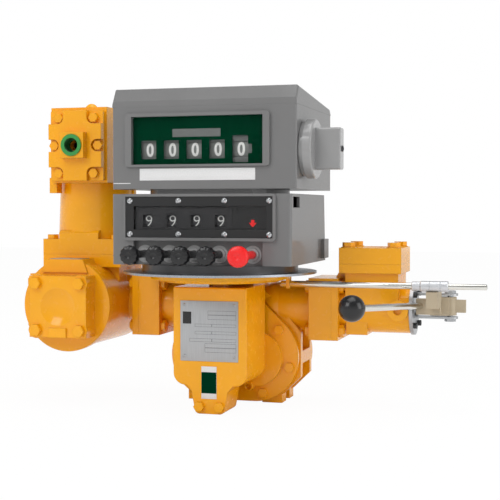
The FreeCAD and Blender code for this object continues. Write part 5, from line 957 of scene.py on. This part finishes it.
class METER_OT_stage(bpy.types.Operator):
    """Set the floor, the lamps, the pale surroundings and the camera"""

    bl_idname = "meter.stage"
    bl_label = "Stage"

    def surround(self, scene):
        """A white backdrop for the camera, an even room for light, and walls that reflections show darker."""
        world = bpy.data.worlds.new("studio")
        scene.world = world
        world.use_nodes = True
        tree = world.node_tree
        tree.nodes.clear()
        place = add(tree, "ShaderNodeTexCoord")
        height = add(tree, "ShaderNodeSeparateXYZ", {"Vector": (place, "Generated")})
        band = add(
            tree,
            "ShaderNodeMapRange",
            {"Value": (height, "Z"), "From Min": 0.05, "From Max": 0.6, "To Min": 0.85, "To Max": 0.3},
            interpolation_type="SMOOTHSTEP",
        )
        room = add(tree, "ShaderNodeBackground", {"Color": linear(WHITE), "Strength": ROOM_LIGHT})
        walls = add(tree, "ShaderNodeBackground", {"Color": linear(WHITE), "Strength": (band, "Result")})
        backdrop = add(tree, "ShaderNodeBackground", {"Color": linear(WHITE), "Strength": 1.0})
        path = add(tree, "ShaderNodeLightPath")
        glossy = {0: (path, "Is Glossy Ray"), 1: (room, "Background"), 2: (walls, "Background")}
        lit = add(tree, "ShaderNodeMixShader", glossy)
        seen = {0: (path, "Is Camera Ray"), 1: (lit, "Shader"), 2: (backdrop, "Background")}
        mixed = add(tree, "ShaderNodeMixShader", seen)
        add(tree, "ShaderNodeOutputWorld", {"Surface": (mixed, "Shader")})

    def lay_floor(self, scene):
        """White paper that glows for the camera, so that only a faint shadow shows on it."""
        mesh = bmesh.new()
        bmesh.ops.create_grid(mesh, x_segments=1, y_segments=1, size=6)
        data = bpy.data.meshes.new("floor")
        mesh.to_mesh(data)
        mesh.free()
        floor = bpy.data.objects.new("floor", data)
        scene.collection.objects.link(floor)
        floor.location.z = CAD_BOX[0].z - 0.2 * MM
        material = new_material("floor_paper")
        tree = material.node_tree
        glow = add(tree, "ShaderNodeEmission", {"Color": linear(WHITE), "Strength": 1.0})
        matte = add(tree, "ShaderNodeBsdfDiffuse", {"Color": linear(PAPER)})
        ray = add(tree, "ShaderNodeLightPath")
        share = add(tree, "ShaderNodeMath", {0: (ray, "Is Camera Ray"), 1: FLOOR_GLOW}, operation="MULTIPLY")
        blend = {0: (share, "Value"), 1: (matte, "BSDF"), 2: (glow, "Emission")}
        both = add(tree, "ShaderNodeMixShader", blend)
        add(tree, "ShaderNodeOutputMaterial", {"Surface": (both, "Shader")})
        data.materials.append(material)

    def execute(self, context):
        scene = context.scene
        scene.view_settings.view_transform = "Standard"
        self.surround(scene)
        self.lay_floor(scene)

        middle = (CAD_BOX[0] + CAD_BOX[1]) / 2
        for name, spot, (wide, high), watts in LAMPS:
            light = bpy.data.lights.new(name, "AREA")
            light.shape = "RECTANGLE"
            light.size = wide
            light.size_y = high
            light.energy = watts
            holder = bpy.data.objects.new(name, light)
            scene.collection.objects.link(holder)
            holder.location = spot
            holder.rotation_euler = (middle - Vector(spot)).to_track_quat("-Z", "Y").to_euler()

        camera = bpy.data.cameras.new("camera")
        camera.lens = CAMERA_LENS
        camera.sensor_width = 36
        holder = bpy.data.objects.new("camera", camera)
        scene.collection.objects.link(holder)
        holder.location = CAMERA_SPOT
        holder.rotation_euler = (math.radians(90 - CAMERA_DIP), 0, math.radians(CAMERA_TURN))
        scene.camera = holder
        return {"FINISHED"}


class METER_PT_panel(bpy.types.Panel):
    """Lists the meter's settings and pieces"""

    bl_idname = "METER_PT_panel"
    bl_label = "Flow Meter"
    bl_space_type = "VIEW_3D"
    bl_region_type = "UI"
    bl_category = "Flow Meter"

    def draw(self, context):
        layout = self.layout
        for group in (context.scene.meter_colours, context.scene.meter_sizes):
            box = layout.box()
            for name in group.__annotations__:
                box.prop(group, name)
        for operator in OPERATORS:
            layout.operator(operator.bl_idname)


OPERATORS = (
    METER_OT_finishes,
    METER_OT_register_figures,
    METER_OT_preset_figures,
    METER_OT_plates,
    METER_OT_case_marks,
    METER_OT_tag_plate,
    METER_OT_masks,
    METER_OT_threads,
    METER_OT_trip_rod,
    METER_OT_screws,
    METER_OT_buttons,
    METER_OT_arrow,
    METER_OT_stage,
)
CLASSES = (MeterColours, MeterSizes) + OPERATORS + (METER_PT_panel,)


def register():
    for cls in CLASSES:
        bpy.utils.register_class(cls)
    bpy.types.Scene.meter_colours = bpy.props.PointerProperty(type=MeterColours)
    bpy.types.Scene.meter_sizes = bpy.props.PointerProperty(type=MeterSizes)


def unregister():
    del bpy.types.Scene.meter_sizes
    del bpy.types.Scene.meter_colours
    for cls in reversed(CLASSES):
        bpy.utils.unregister_class(cls)


def main():
    register()
    for operator in OPERATORS:
        group, name = operator.bl_idname.split(".")
        getattr(getattr(bpy.ops, group), name)()


if __name__ == "__main__":
    main()
